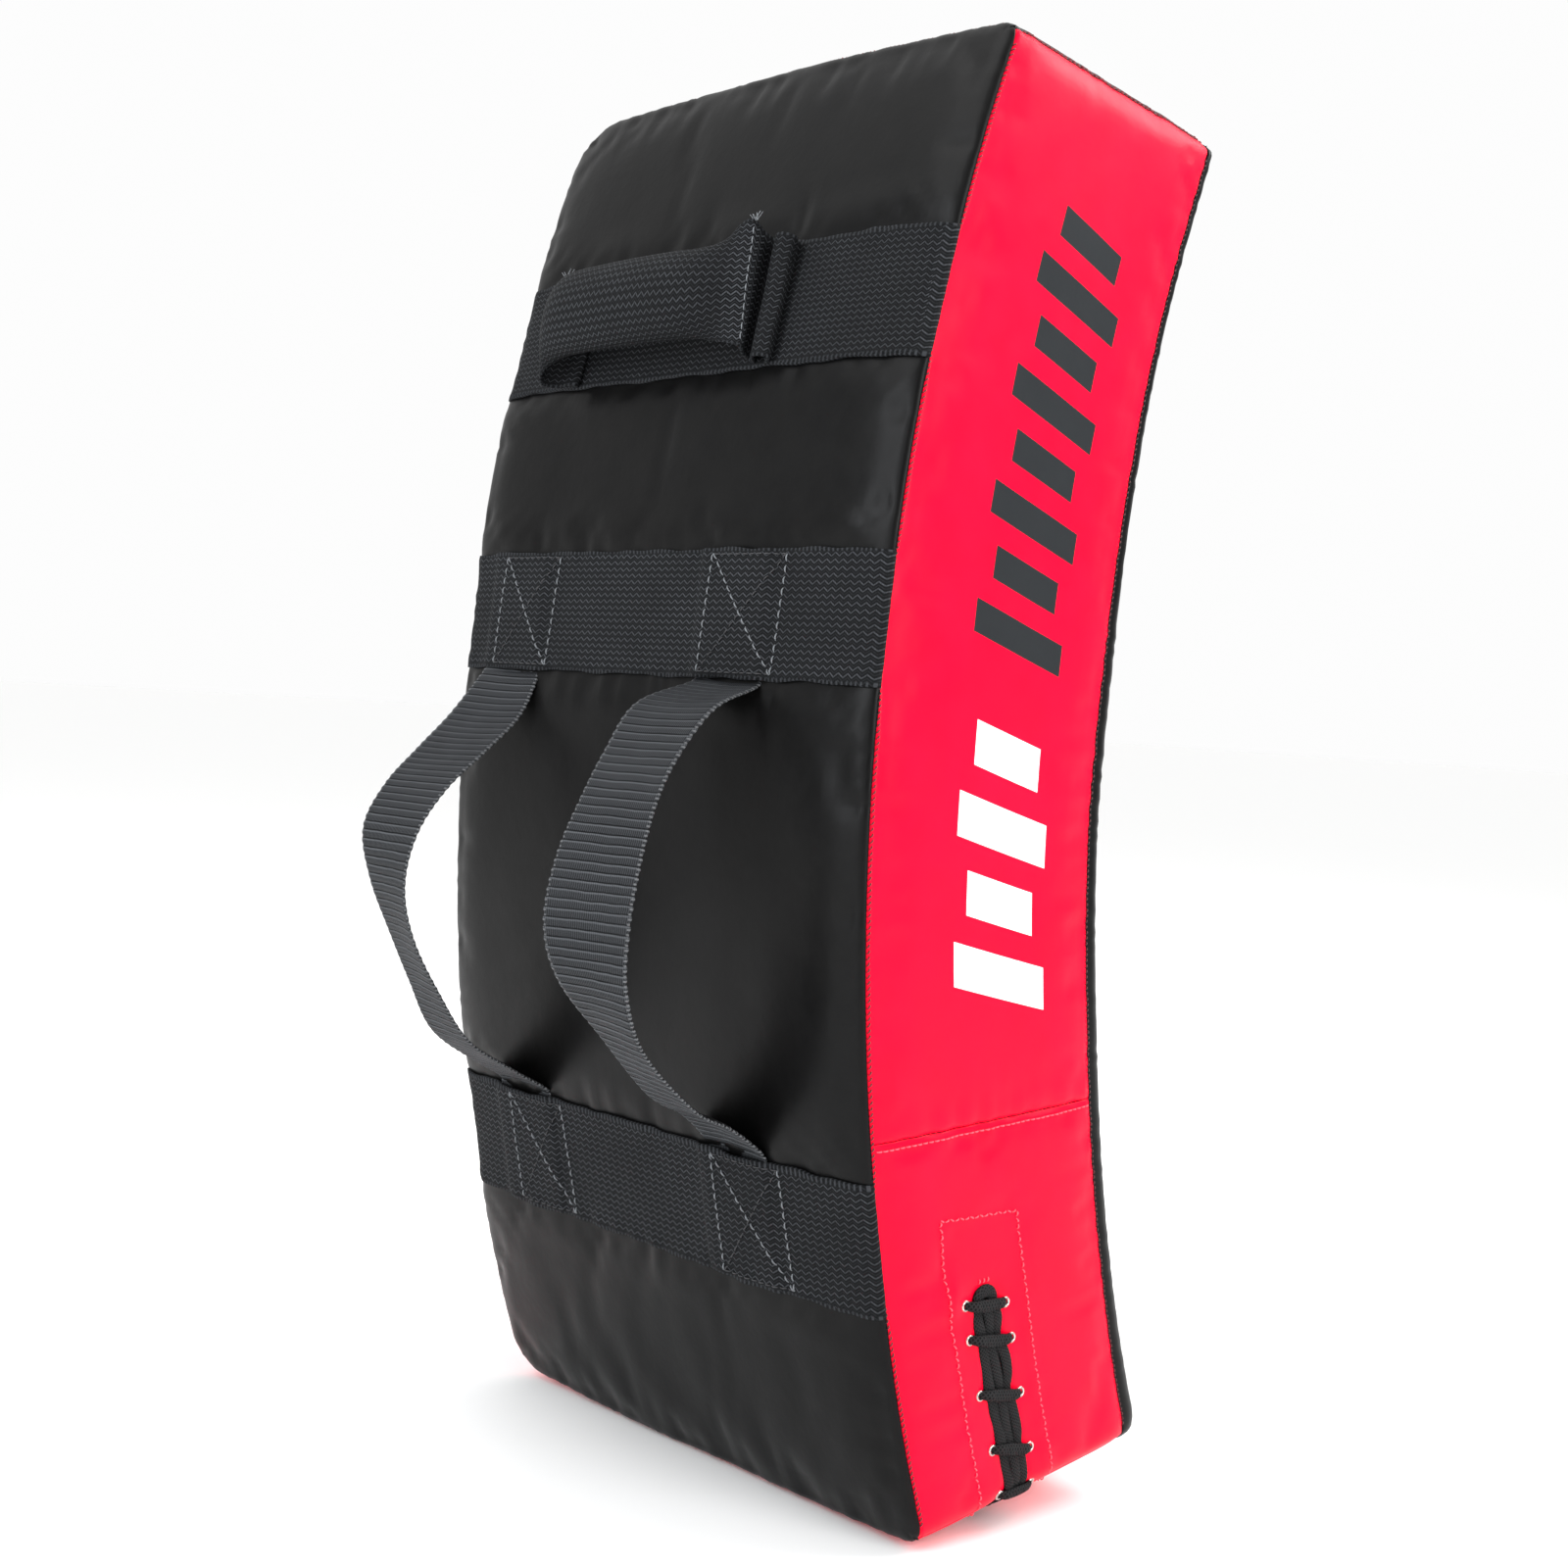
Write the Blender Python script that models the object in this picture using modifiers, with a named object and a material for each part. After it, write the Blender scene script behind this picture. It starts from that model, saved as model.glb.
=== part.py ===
"""Curved kick shield: a banana-shaped foam block in a stitched and laced leatherette cover, with webbing
bands, a padded grip handle and two webbing arm loops across its convex back.

Frame: +Z up along the shield, +X towards the laced side, +Y out of the concave strike face, -Y out of the
convex back. Z = 0 is the lowest edge of the bottom end; X = 0 is mid width. Metres throughout.
"""

import math

import bmesh
import bpy
from mathutils import Matrix, Vector

# ---------------------------------------------------------------- driving dimensions
WIDTH = 0.350  # across the shield
BACK_CHORD = 0.750  # straight length between the back's two end edges
BACK_RISE = 0.068  # how far the back bows out from that chord
THICK = 0.1585  # at mid length
FRONT_CHORD = 0.696  # straight length between the strike face's end edges
FRONT_RISE = 0.062
Y_BACK = -0.0620  # the back face at mid length, in the part's frame
Z_MID = BACK_CHORD / 2  # mid length above the lowest edge

GAP = 0.0003
COVER = 0.0030  # leatherette with its felt liner
SEAM_ARC = -0.170  # the side seam, as an arc position on the back
SEGMENTS = 16  # facets along the shield

WEB = 0.0024  # band webbing
LOOP_WEB = 0.0022  # arm loop webbing
LOOP_WIDTH = 0.051
BANDS = {"top_band": (0.2059, 0.2710), "middle_band": (0.0486, 0.1136), "lower_band": (-0.2551, -0.1885)}
TAIL_OUT = GAP + LOOP_WEB  # outer face of a loop tail, measured out from the back
TAIL_RAMP = 0.004

LACE_MID = 0.0725  # depth of the lacing line, from the back
LACE_HALF = 0.0145  # from that line to an eyelet
SLIT_HALF = 0.0050
ROWS_SIDE = (0.0092, 0.0300, 0.0590, 0.0880, 0.1070)  # up from the bottom edge
ROWS_END = (0.1600, 0.1300, 0.1000, 0.0700)  # across the bottom end, as X
PATCH = (0.0440, 0.1000)  # depth range of the facing behind the lacing
PATCH_TOP = -0.2160
PATCH_STACK = 0.0012
EYELET_RIM, EYELET_BARREL, EYELET_BORE, EYELET_HOLE = 0.0042, 0.0027, 0.0021, 0.0031
LACE_R = 0.0015

HANDLE_ARC = 0.2405  # handle's mid line along the back
HANDLE_NEAR, HANDLE_FAR = 0.0530, -0.0970  # where its webbing leaves the band
GRIP_OUT = 0.0350  # centre of the grip, out from the back
GRIP_HALF_V, GRIP_HALF_W = 0.0215, 0.0125  # half height and half thickness of the foam roll

R_BACK = ((BACK_CHORD / 2) ** 2 + BACK_RISE**2) / (2 * BACK_RISE)
R_FRONT = ((FRONT_CHORD / 2) ** 2 + FRONT_RISE**2) / (2 * FRONT_RISE)
A_BACK = math.asin(BACK_CHORD / 2 / R_BACK)
A_FRONT = math.asin(FRONT_CHORD / 2 / R_FRONT)
ARC = R_BACK * A_BACK  # half of the back's arc length


# ---------------------------------------------------------------- the shield's own curved space
def at(x, depth, arc):
    """The point `depth` in from the back, `arc` along it from mid length, in the part's frame."""
    s = arc / ARC
    by, bz = R_BACK * (1 - math.cos(A_BACK * s)), R_BACK * math.sin(A_BACK * s)
    fy, fz = THICK + R_FRONT * (1 - math.cos(A_FRONT * s)), R_FRONT * math.sin(A_FRONT * s)
    t = depth / THICK
    return Vector((x, Y_BACK + by + (fy - by) * t, Z_MID + bz + (fz - bz) * t))


def out_of_back(arc):
    a = arc / R_BACK
    return Vector((0, -math.cos(a), math.sin(a)))


def above(x, out, arc):
    """The point `out` proud of the back's surface, along its normal."""
    return at(x, 0, arc) + out_of_back(arc) * out


def arc_of(z):
    """Arc position of the back's point at height z from mid length."""
    return R_BACK * math.asin(z / R_BACK)


def stations(a0, a1):
    cuts = [-ARC + 2 * ARC * i / SEGMENTS for i in range(SEGMENTS + 1)] + [SEAM_ARC]
    return sorted([a0, a1] + [c for c in cuts if a0 + 0.002 < c < a1 - 0.002])


# ---------------------------------------------------------------- scene and materials
for old in list(bpy.data.objects):
    bpy.data.objects.remove(old, do_unlink=True)

parts = bpy.data.collections.new("kick_shield")
cutters = bpy.data.collections.new("cutters")
cutters.hide_render = True
for c in (parts, cutters):
    bpy.context.scene.collection.children.link(c)


def material(name, colour, roughness, metallic=0.0):
    m = bpy.data.materials.new(name)
    m.use_nodes = True
    shader = m.node_tree.nodes["Principled BSDF"]
    shader.inputs["Base Color"].default_value = (*colour, 1)
    shader.inputs["Roughness"].default_value = roughness
    shader.inputs["Metallic"].default_value = metallic
    m.diffuse_color = (*colour, 1)
    return m


BLACK = material("black_leatherette", (0.020, 0.020, 0.021), 0.42)
RED = material("red_leatherette", (0.80, 0.008, 0.035), 0.36)
FOAM = material("foam", (0.55, 0.55, 0.56), 0.95)
FIRM = material("firm_foam", (0.30, 0.31, 0.33), 0.90)
BAND = material("band_webbing", (0.016, 0.017, 0.019), 0.75)
LOOP = material("loop_webbing", (0.055, 0.058, 0.065), 0.70)
LACE = material("lace_cord", (0.012, 0.012, 0.013), 0.85)
STEEL = material("eyelet_steel", (0.75, 0.76, 0.78), 0.25, 1.0)
LINER = material("lining", (0.030, 0.030, 0.032), 0.80)


def thing(name, mesh, mat, where=(0, 0, 0)):
    obj = bpy.data.objects.new(name, mesh)
    obj.location = where
    if not mesh.materials:
        mesh.materials.append(mat)
    parts.objects.link(obj)
    return obj


def solidify(obj, thickness, offset):
    mod = obj.modifiers.new("thickness", "SOLIDIFY")
    mod.thickness, mod.offset = thickness, offset
    mod.use_even_offset = True
    return mod


# ---------------------------------------------------------------- slabs of the curved block
def slab(name, mat, x, depth, arc):
    """A box in the shield's curved space: cut along its length, then bent with the block."""
    bm = bmesh.new()
    bmesh.ops.create_cube(bm, size=1)
    for v in bm.verts:
        v.co = Vector((x[v.co.x > 0], depth[v.co.y > 0], arc[v.co.z > 0]))
    for a in stations(*arc)[1:-1]:
        bmesh.ops.bisect_plane(bm, geom=bm.verts[:] + bm.edges[:] + bm.faces[:], plane_co=(0, 0, a), plane_no=(0, 0, 1))
    for v in bm.verts:
        v.co = at(*v.co)
    mesh = bpy.data.meshes.new(name)
    bm.to_mesh(mesh)
    bm.free()
    return thing(name, mesh, mat)


HALF = WIDTH / 2
INNER = COVER + GAP
side_in = HALF - COVER
slab("back_cover_panel", BLACK, (-HALF, HALF), (0, COVER), (-ARC, ARC))
slab("strike_cover_panel", BLACK, (-HALF, HALF), (THICK - COVER, THICK), (-ARC, ARC))
between = (INNER, THICK - INNER)
slab("plain_side_panel", RED, (-HALF, -side_in), between, (-ARC, ARC))
slab("laced_side_upper_panel", RED, (side_in, HALF), between, (SEAM_ARC + GAP / 2, ARC))
lower_side = slab("laced_side_lower_panel", RED, (side_in, HALF), between, (-ARC, SEAM_ARC - GAP / 2))
caps = (-side_in + GAP, side_in - GAP)
slab("top_end_panel", BLACK, caps, between, (ARC - COVER, ARC))
bottom_end = slab("bottom_end_panel", BLACK, caps, between, (-ARC, -ARC + COVER))

# facing sewn behind the lacing, on the side and on the bottom end
face_in = side_in - GAP
side_patch = slab("lacing_facing_side", RED, (face_in - PATCH_STACK, face_in), PATCH, (-ARC + COVER + 2 * GAP + PATCH_STACK, PATCH_TOP))
end_in = -ARC + COVER + GAP
end_patch = slab("lacing_facing_end", RED, (0.040, face_in - PATCH_STACK - GAP), PATCH, (end_in, end_in + PATCH_STACK))

# three foam layers, sealed inside the cover
foam_x = (-side_in + GAP, side_in - 0.0043)
foam_a = (-ARC + 0.0080, ARC - INNER)
layers = (("foam_back_layer", FIRM, 0.030), ("foam_core_layer", FOAM, 0.082), ("foam_strike_layer", FIRM, 0))
depth = INNER
for name, mat, thick in layers:
    low, high = depth, depth + thick if thick else THICK - INNER
    slab(name, mat, foam_x, (low, high), foam_a)
    depth = high + GAP


# ---------------------------------------------------------------- webbing laid on the back
def sheet(name, mat, xs, arcs, out, thickness):
    """Webbing on the back: an open sheet `out(x)` proud of the surface, thickened outwards."""
    bm = bmesh.new()
    bmesh.ops.create_grid(bm, x_segments=len(xs) - 1, y_segments=len(arcs) - 1, size=0.5)
    for v in bm.verts:
        i, j = round((v.co.x + 0.5) * (len(xs) - 1)), round((v.co.y + 0.5) * (len(arcs) - 1))
        v.co = above(xs[i], out(xs[i]), arcs[j])
    bmesh.ops.recalc_face_normals(bm, faces=bm.faces)
    bm.normal_update()
    if bm.faces[0].normal.y > 0:
        bmesh.ops.reverse_faces(bm, faces=bm.faces)
    mesh = bpy.data.meshes.new(name)
    bm.to_mesh(mesh)
    bm.free()
    obj = thing(name, mesh, mat)
    solidify(obj, thickness, 1)
    return obj


def evenly(a, b, n):
    return [a + (b - a) * i / n for i in range(n + 1)]


# Arm loops: centre line as (out from the chord plane of the back, height from mid length, twist in degrees).
# The webbing comes out from under the middle band, stands off, twists half way and returns under the lower band.
NEAR_LOOP = {
    "x": (0.0710, 0.0810),
    "line": ((0.003, 0.0460, 4), (0.037, 0.0330, 12), (0.0570, 0.0090, 8), (0.0700, -0.0140, 9), (0.0810, -0.0430, 16),
             (0.0865, -0.0740, 17), (0.0820, -0.1015, 5), (0.0630, -0.1310, -12), (0.0320, -0.1610, -11),
             (0.0090, -0.1720, -8), (-0.0120, -0.1850, -5)),
}
FAR_LOOP = {
    "x": (-0.1195, -0.1060),
    "line": ((0.002, 0.0460, 6), (0.022, 0.0215, 14), (0.0430, 0.0010, 14), (0.0640, -0.0190, 9), (0.0790, -0.0430, 3),
             (0.0790, -0.0700, -10), (0.0680, -0.0980, -18), (0.0510, -0.1280, -17), (0.0330, -0.1560, -11),
             (0.0070, -0.1730, -7), (-0.0120, -0.1850, -5)),
}
LOOPS = {"arm_loop_near": NEAR_LOOP, "arm_loop_far": FAR_LOOP}


def tail_height(spans):
    """How far out a band runs: over a tail it steps out by the tail's thickness."""

    def out(x):
        inside = max(min(x - (a - TAIL_RAMP), (b + TAIL_RAMP) - x) for a, b in spans) if spans else -1
        return GAP + (TAIL_OUT - 0.0 + 0.0001) * min(max(inside / TAIL_RAMP, 0), 1)

    return out


def span(centre, more=0.0006):
    return centre - LOOP_WIDTH / 2 - more, centre + LOOP_WIDTH / 2 + more


for name, (z0, z1) in BANDS.items():
    which = {"middle_band": 0, "lower_band": 1}.get(name)
    spans = [span(loop["x"][which]) for loop in LOOPS.values()] if which is not None else []
    xs = [-HALF + 0.0005, HALF - 0.0005]
    for a, b in spans:
        xs += [a - TAIL_RAMP, a, b, b + TAIL_RAMP]
    sheet(name, BAND, sorted(xs), evenly(arc_of(z0), arc_of(z1), 4), tail_height(spans), WEB)

for name, loop in LOOPS.items():
    for which, (z0, z1), tail in ((0, BANDS["middle_band"], "upper"), (1, BANDS["lower_band"], "lower")):
        x0, x1 = span(loop["x"][which], 0)
        sheet(f"{name}_{tail}_tail", LOOP, [x0, x1], evenly(arc_of(z0) + 0.0002, arc_of(z1) - 0.002, 4), lambda x: GAP, LOOP_WEB)

top0, top1 = (arc_of(z) for z in BANDS["top_band"])
over_band = 2 * GAP + WEB
sheet("handle_near_tail", BAND, [HANDLE_NEAR, HALF - 0.0010], evenly(top0 + 0.0005, top1 - 0.0005, 4), lambda x: over_band, WEB)
sheet("handle_far_tail", BAND, [-HALF + 0.0010, HANDLE_FAR], evenly(top0 + 0.0005, top1 - 0.0005, 4), lambda x: over_band, WEB)


# ---------------------------------------------------------------- ribbons that stand off the back
def smooth(points, n):
    """Catmull-Rom through the points, n steps a span; the ends are kept."""
    pts = [Vector(p) for p in points]
    pts = [2 * pts[0] - pts[1]] + pts + [2 * pts[-1] - pts[-2]]
    out = []
    for i in range(1, len(pts) - 2):
        a, b, c, d = pts[i - 1 : i + 3]
        for k in range(n):
            t = k / n
            out.append(0.5 * (2 * b + (c - a) * t + (2 * a - 5 * b + 4 * c - d) * t**2 + (3 * b - a - 3 * c + d) * t**3))
    return out + [pts[-2]]


def ribbon(name, mat, rows, thickness, origin):
    """A strip through rows of points, thickened to both sides. Its origin is on the joint's axis."""
    bm = bmesh.new()
    bmesh.ops.create_grid(bm, x_segments=len(rows) - 1, y_segments=len(rows[0]) - 1, size=0.5)
    for v in bm.verts:
        i, j = round((v.co.x + 0.5) * (len(rows) - 1)), round((v.co.y + 0.5) * (len(rows[0]) - 1))
        v.co = rows[i][j] - origin
    mesh = bpy.data.meshes.new(name)
    bm.to_mesh(mesh)
    bm.free()
    obj = thing(name, mesh, mat, origin)
    solidify(obj, thickness, 0)
    return obj


LOOP_SWING = math.radians(40)
AXIS_OUT = 0.0045  # the loop turns about the line through its two roots, this far out from the back
for name, loop in LOOPS.items():
    top = above(loop["x"][0], AXIS_OUT, arc_of(BANDS["middle_band"][0]))
    low = above(loop["x"][1], AXIS_OUT, arc_of(BANDS["lower_band"][1]))
    along = (low - top).normalized()
    rows = []
    for out, z, twist in smooth(loop["line"], 3):
        share = (BANDS["middle_band"][0] - z) / (BANDS["middle_band"][0] - BANDS["lower_band"][1])
        x = loop["x"][0] + (loop["x"][1] - loop["x"][0]) * share
        mid = Vector((x, Y_BACK - out, Z_MID + z))
        foot = top + along * (mid - top).dot(along)
        reach = (mid - foot).length if mid.y < foot.y else 0
        half = min(LOOP_WIDTH / 2, 0.0030 + (reach - 0.0035) / math.tan(LOOP_SWING) / 1.12)
        if reach < 0.0045:
            continue
        across = Vector((math.cos(math.radians(twist)), math.sin(math.radians(twist)), 0)) * half
        rows.append([mid - across, mid, mid + across])
    ribbon(name, LOOP, rows, LOOP_WEB, top)

# ---------------------------------------------------------------- padded grip handle
grip_origin = above((HANDLE_NEAR + HANDLE_FAR) / 2, over_band + WEB, HANDLE_ARC)
n_out, n_up = out_of_back(HANDLE_ARC), Vector((0, math.sin(HANDLE_ARC / R_BACK), math.cos(HANDLE_ARC / R_BACK)))


def handle_point(x, out, up):
    return at(x, 0, HANDLE_ARC) + n_out * out + n_up * up


grip0, grip1 = HANDLE_NEAR - 0.020, HANDLE_FAR + 0.008
grip_line = ((HANDLE_NEAR - 0.001, 0.0115, 0), (HANDLE_NEAR - 0.0015, 0.021, 0), (HANDLE_NEAR - 0.006, 0.033, 0.05), (HANDLE_NEAR - 0.018, 0.0430, 0.55),
             (HANDLE_NEAR - 0.045, 0.0480, 1), (-0.022, 0.0500, 1), (HANDLE_FAR + 0.045, 0.0480, 1), (HANDLE_FAR + 0.014, 0.0430, 0.6),
             (HANDLE_FAR + 0.002, 0.033, 0.1), (HANDLE_FAR - 0.002, 0.021, 0), (HANDLE_FAR - 0.001, 0.0115, 0))
rows = []
for x, out, wrap in smooth(grip_line, 2):
    half = min(0.0315, 0.0020 + (out - 0.0080) / math.tan(math.radians(25)) / 1.1)
    row = []
    for k in range(9):
        u = k / 4 - 1  # across the webbing, -1 to 1
        flat = (0, u * half)
        turn = u * math.radians(112)
        bent = (-(1 - math.cos(turn)) * (GRIP_HALF_W + 0.0022), math.sin(turn) * (GRIP_HALF_V + 0.0022))
        w, v = (flat[i] + (bent[i] - flat[i]) * min(max(wrap, 0), 1) for i in (0, 1))
        row.append(handle_point(x, out + w, v))
    rows.append(row)
ribbon("grip_handle_webbing", BAND, rows, WEB, grip_origin)

bm = bmesh.new()
bmesh.ops.create_cone(bm, cap_ends=True, segments=16, radius1=1, radius2=1, depth=1)
for v in bm.verts:
    across = 0.985 if abs(v.co.x) > 0.1 else 1
    v.co = handle_point((grip0 + grip1) / 2 + v.co.z * (grip0 - grip1 - 0.044), GRIP_OUT - 0.0010 + v.co.x * GRIP_HALF_W * 0.82, v.co.y * GRIP_HALF_V * 0.86 * across) - grip_origin
bmesh.ops.recalc_face_normals(bm, faces=bm.faces)
mesh = bpy.data.meshes.new("grip_handle_foam")
bm.to_mesh(mesh)
bm.free()
thing("grip_handle_foam", mesh, FOAM, grip_origin)


# ---------------------------------------------------------------- laced opening
def boolean(obj, other, operation):
    mod = obj.modifiers.new(operation.lower(), "BOOLEAN")
    mod.operation, mod.solver, mod.object = operation, "EXACT", other


def to_cutter(obj):
    parts.objects.unlink(obj)
    cutters.objects.link(obj)
    obj.hide_render, obj.display_type = True, "WIRE"
    return obj


slit_side = to_cutter(slab("slit_side_cutter", RED, (HALF - 0.012, HALF + 0.010), (LACE_MID - SLIT_HALF, LACE_MID + SLIT_HALF), (-ARC - 0.010, -ARC + 0.1180)))
slit_end = to_cutter(slab("slit_end_cutter", RED, (0.0560, HALF + 0.010), (LACE_MID - SLIT_HALF, LACE_MID + SLIT_HALF), (-ARC - 0.010, -ARC + 0.0075)))

SIDE_N = Vector((1, 0, 0))
end_run = (at(0, THICK, -ARC) - at(0, 0, -ARC)).normalized()
END_N = Vector((0, end_run.z, -end_run.y))
rows_of_lacing = []
for up in ROWS_SIDE:
    left, right = (at(HALF, LACE_MID + k * LACE_HALF, -ARC + up) for k in (-1, 1))
    rows_of_lacing.append((left, right, SIDE_N))
for x in ROWS_END:
    left, right = (at(x, LACE_MID + k * LACE_HALF, -ARC) for k in (-1, 1))
    rows_of_lacing.append((left, right, END_N))

# one eyelet: an outer rim, a barrel through panel and facing, and the turned-over inner rim
profile = ((EYELET_BORE, -0.0055), (0.0037, -0.0055), (0.0037, -0.0050), (EYELET_BARREL, -0.0048), (EYELET_BARREL, 0.0003),
           (EYELET_RIM, 0.0003), (EYELET_RIM - 0.0006, 0.0011), (EYELET_BORE, 0.0011))
bm = bmesh.new()
ring = [bm.verts.new((r, 0, z)) for r, z in profile]
for i in range(len(ring)):
    bm.edges.new((ring[i - 1], ring[i]))
bmesh.ops.spin(bm, geom=bm.verts[:] + bm.edges[:], cent=(0, 0, 0), axis=(0, 0, 1), angle=2 * math.pi, steps=10, use_merge=True)
bmesh.ops.remove_doubles(bm, verts=bm.verts, dist=0.00001)
bmesh.ops.recalc_face_normals(bm, faces=bm.faces)
eyelet_mesh = bpy.data.meshes.new("eyelet")
bm.to_mesh(eyelet_mesh)
bm.free()
eyelet_mesh.materials.append(STEEL)

bm = bmesh.new()
bmesh.ops.create_cone(bm, cap_ends=True, segments=10, radius1=EYELET_HOLE, radius2=EYELET_HOLE, depth=0.016)
drill_mesh = bpy.data.meshes.new("eyelet_drill")
bm.to_mesh(drill_mesh)
bm.free()

count = 0
for left, right, normal in rows_of_lacing:
    for spot in (left, right):
        count += 1
        turn = normal.to_track_quat("Z", "Y")
        eyelet = thing(f"eyelet_{count:02d}", eyelet_mesh, STEEL, spot)
        eyelet.rotation_mode = "QUATERNION"
        eyelet.rotation_quaternion = turn
        drill = bpy.data.objects.new(f"drill_{count:02d}", drill_mesh)
        drill.location, drill.rotation_mode, drill.rotation_quaternion = spot, "QUATERNION", turn
        drill.hide_render, drill.display_type = True, "WIRE"
        cutters.objects.link(drill)
        for obj in (lower_side, side_patch) if normal is SIDE_N else (bottom_end, end_patch):
            boolean(obj, drill, "DIFFERENCE")
for obj in (lower_side, side_patch, bottom_end, end_patch):
    boolean(obj, slit_side, "DIFFERENCE")
    boolean(obj, slit_end, "DIFFERENCE")

# tongue: a lined strip behind the slit, down the side and round under the bottom end
tongue_x, tongue_a = HALF - 0.0063, -ARC + 0.0068
route = [(tongue_x, -0.2300), (tongue_x, -0.2750), (tongue_x, -0.3200), (tongue_x, tongue_a), (0.1100, tongue_a), (0.0480, tongue_a)]
bm = bmesh.new()
bmesh.ops.create_grid(bm, x_segments=len(route) - 1, y_segments=1, size=0.5)
for v in bm.verts:
    i = round((v.co.x + 0.5) * (len(route) - 1))
    v.co = at(route[i][0], PATCH[v.co.y > 0] + 0.002 * (-1 if v.co.y > 0 else 1), route[i][1])
mesh = bpy.data.meshes.new("lacing_tongue")
bm.to_mesh(mesh)
bm.free()
solidify(thing("lacing_tongue", mesh, LINER), 0.0010, 0)

# lace: three flat runs side by side down the slit, round the bottom edge, with a bar over them at each row
lace_out = 0.0016
route = [(HALF + lace_out, -ARC + 0.1130), (HALF + lace_out, -ARC + 0.080), (HALF + lace_out, -ARC + 0.040), (HALF + lace_out, -ARC - lace_out),
         (0.1200, -ARC - lace_out), (0.0640, -ARC - lace_out)]
bm = bmesh.new()
bmesh.ops.create_grid(bm, x_segments=len(route) - 1, y_segments=1, size=0.5)
for v in bm.verts:
    i = round((v.co.x + 0.5) * (len(route) - 1))
    v.co = at(route[i][0], LACE_MID + (0.0065 if v.co.y > 0 else -0.0065), route[i][1])
mesh = bpy.data.meshes.new("lace")
bm.to_mesh(mesh)
bm.free()
lace = thing("lace", mesh, LACE)
solidify(lace, 0.0018, 0)
bars = []
for number, (left, right, normal) in enumerate(rows_of_lacing):
    curve = bpy.data.curves.new(f"lace_bar_{number + 1}", "CURVE")
    curve.dimensions, curve.bevel_depth, curve.bevel_resolution, curve.use_fill_caps = "3D", LACE_R, 1, True
    spline = curve.splines.new("POLY")
    inward = (right - left).normalized()
    path = (left - normal * 0.0030, left + normal * 0.0022, left + normal * 0.0032 + inward * 0.0020, right + normal * 0.0032 - inward * 0.0020,
            right + normal * 0.0022, right - normal * 0.0030)
    spline.points.add(len(path) - 1)
    for point, p in zip(spline.points, path):
        point.co = (*p, 1)
    bar = bpy.data.objects.new(f"lace_bar_{number + 1}", curve)
    cutters.objects.link(bar)
    bars.append(bar)
bpy.context.view_layer.update()
graph = bpy.context.evaluated_depsgraph_get()
for bar in bars:
    mesh = bpy.data.meshes.new_from_object(bar.evaluated_get(graph))
    bm = bmesh.new()
    bm.from_mesh(mesh)
    bmesh.ops.remove_doubles(bm, verts=bm.verts, dist=0.00001)
    bmesh.ops.recalc_face_normals(bm, faces=bm.faces)
    bm.to_mesh(mesh)
    bm.free()
    whole = bpy.data.objects.new(bar.name + "_mesh", mesh)
    whole.matrix_world = bar.matrix_world
    whole.hide_render, whole.display_type = True, "WIRE"
    cutters.objects.link(whole)
    bpy.data.objects.remove(bar)
    boolean(lace, whole, "UNION")
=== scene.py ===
import math

import bmesh
import bpy
import numpy as np
from mathutils import Matrix, Vector, noise
from mathutils.bvhtree import BVHTree


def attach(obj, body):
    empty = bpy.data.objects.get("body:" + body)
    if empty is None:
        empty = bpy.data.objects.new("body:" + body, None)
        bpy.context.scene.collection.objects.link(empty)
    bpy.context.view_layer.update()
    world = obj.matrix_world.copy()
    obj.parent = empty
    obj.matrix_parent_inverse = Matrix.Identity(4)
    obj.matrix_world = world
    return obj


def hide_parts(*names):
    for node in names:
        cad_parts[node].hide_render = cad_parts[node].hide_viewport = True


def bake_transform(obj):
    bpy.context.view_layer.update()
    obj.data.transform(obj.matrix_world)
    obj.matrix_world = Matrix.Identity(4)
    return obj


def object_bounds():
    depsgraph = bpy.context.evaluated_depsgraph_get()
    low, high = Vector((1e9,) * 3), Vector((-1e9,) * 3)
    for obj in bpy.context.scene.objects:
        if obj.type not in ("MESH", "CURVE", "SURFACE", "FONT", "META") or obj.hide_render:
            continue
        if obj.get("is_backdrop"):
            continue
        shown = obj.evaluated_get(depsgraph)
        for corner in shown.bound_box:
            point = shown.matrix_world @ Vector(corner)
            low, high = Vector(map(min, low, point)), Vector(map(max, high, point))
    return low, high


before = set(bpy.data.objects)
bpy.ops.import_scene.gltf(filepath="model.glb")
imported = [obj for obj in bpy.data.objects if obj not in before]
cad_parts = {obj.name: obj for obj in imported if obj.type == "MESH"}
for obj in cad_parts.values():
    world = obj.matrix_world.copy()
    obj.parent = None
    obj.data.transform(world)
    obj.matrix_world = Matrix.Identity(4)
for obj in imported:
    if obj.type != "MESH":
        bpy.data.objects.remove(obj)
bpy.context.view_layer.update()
scene = bpy.context.scene

# ------------------------------------------------------------------ the shield's curved space, as in the CAD
WIDTH, THICK = 0.350, 0.1585
BACK_CHORD, BACK_RISE, FRONT_CHORD, FRONT_RISE = 0.750, 0.068, 0.696, 0.062
Y_BACK, Z_MID = -0.0620, 0.375
R_BACK = ((BACK_CHORD / 2) ** 2 + BACK_RISE**2) / (2 * BACK_RISE)
R_FRONT = ((FRONT_CHORD / 2) ** 2 + FRONT_RISE**2) / (2 * FRONT_RISE)
A_BACK, A_FRONT = math.asin(BACK_CHORD / 2 / R_BACK), math.asin(FRONT_CHORD / 2 / R_FRONT)
ARC = R_BACK * A_BACK
HX = WIDTH / 2
BANDS = {"top_band": (0.2059, 0.2710), "middle_band": (0.0486, 0.1136), "lower_band": (-0.2551, -0.1885)}
SEAM_ARC = -0.170
LACE_MID, LACE_HALF, SLIT_HALF = 0.0684, 0.0145, 0.0046
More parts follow.
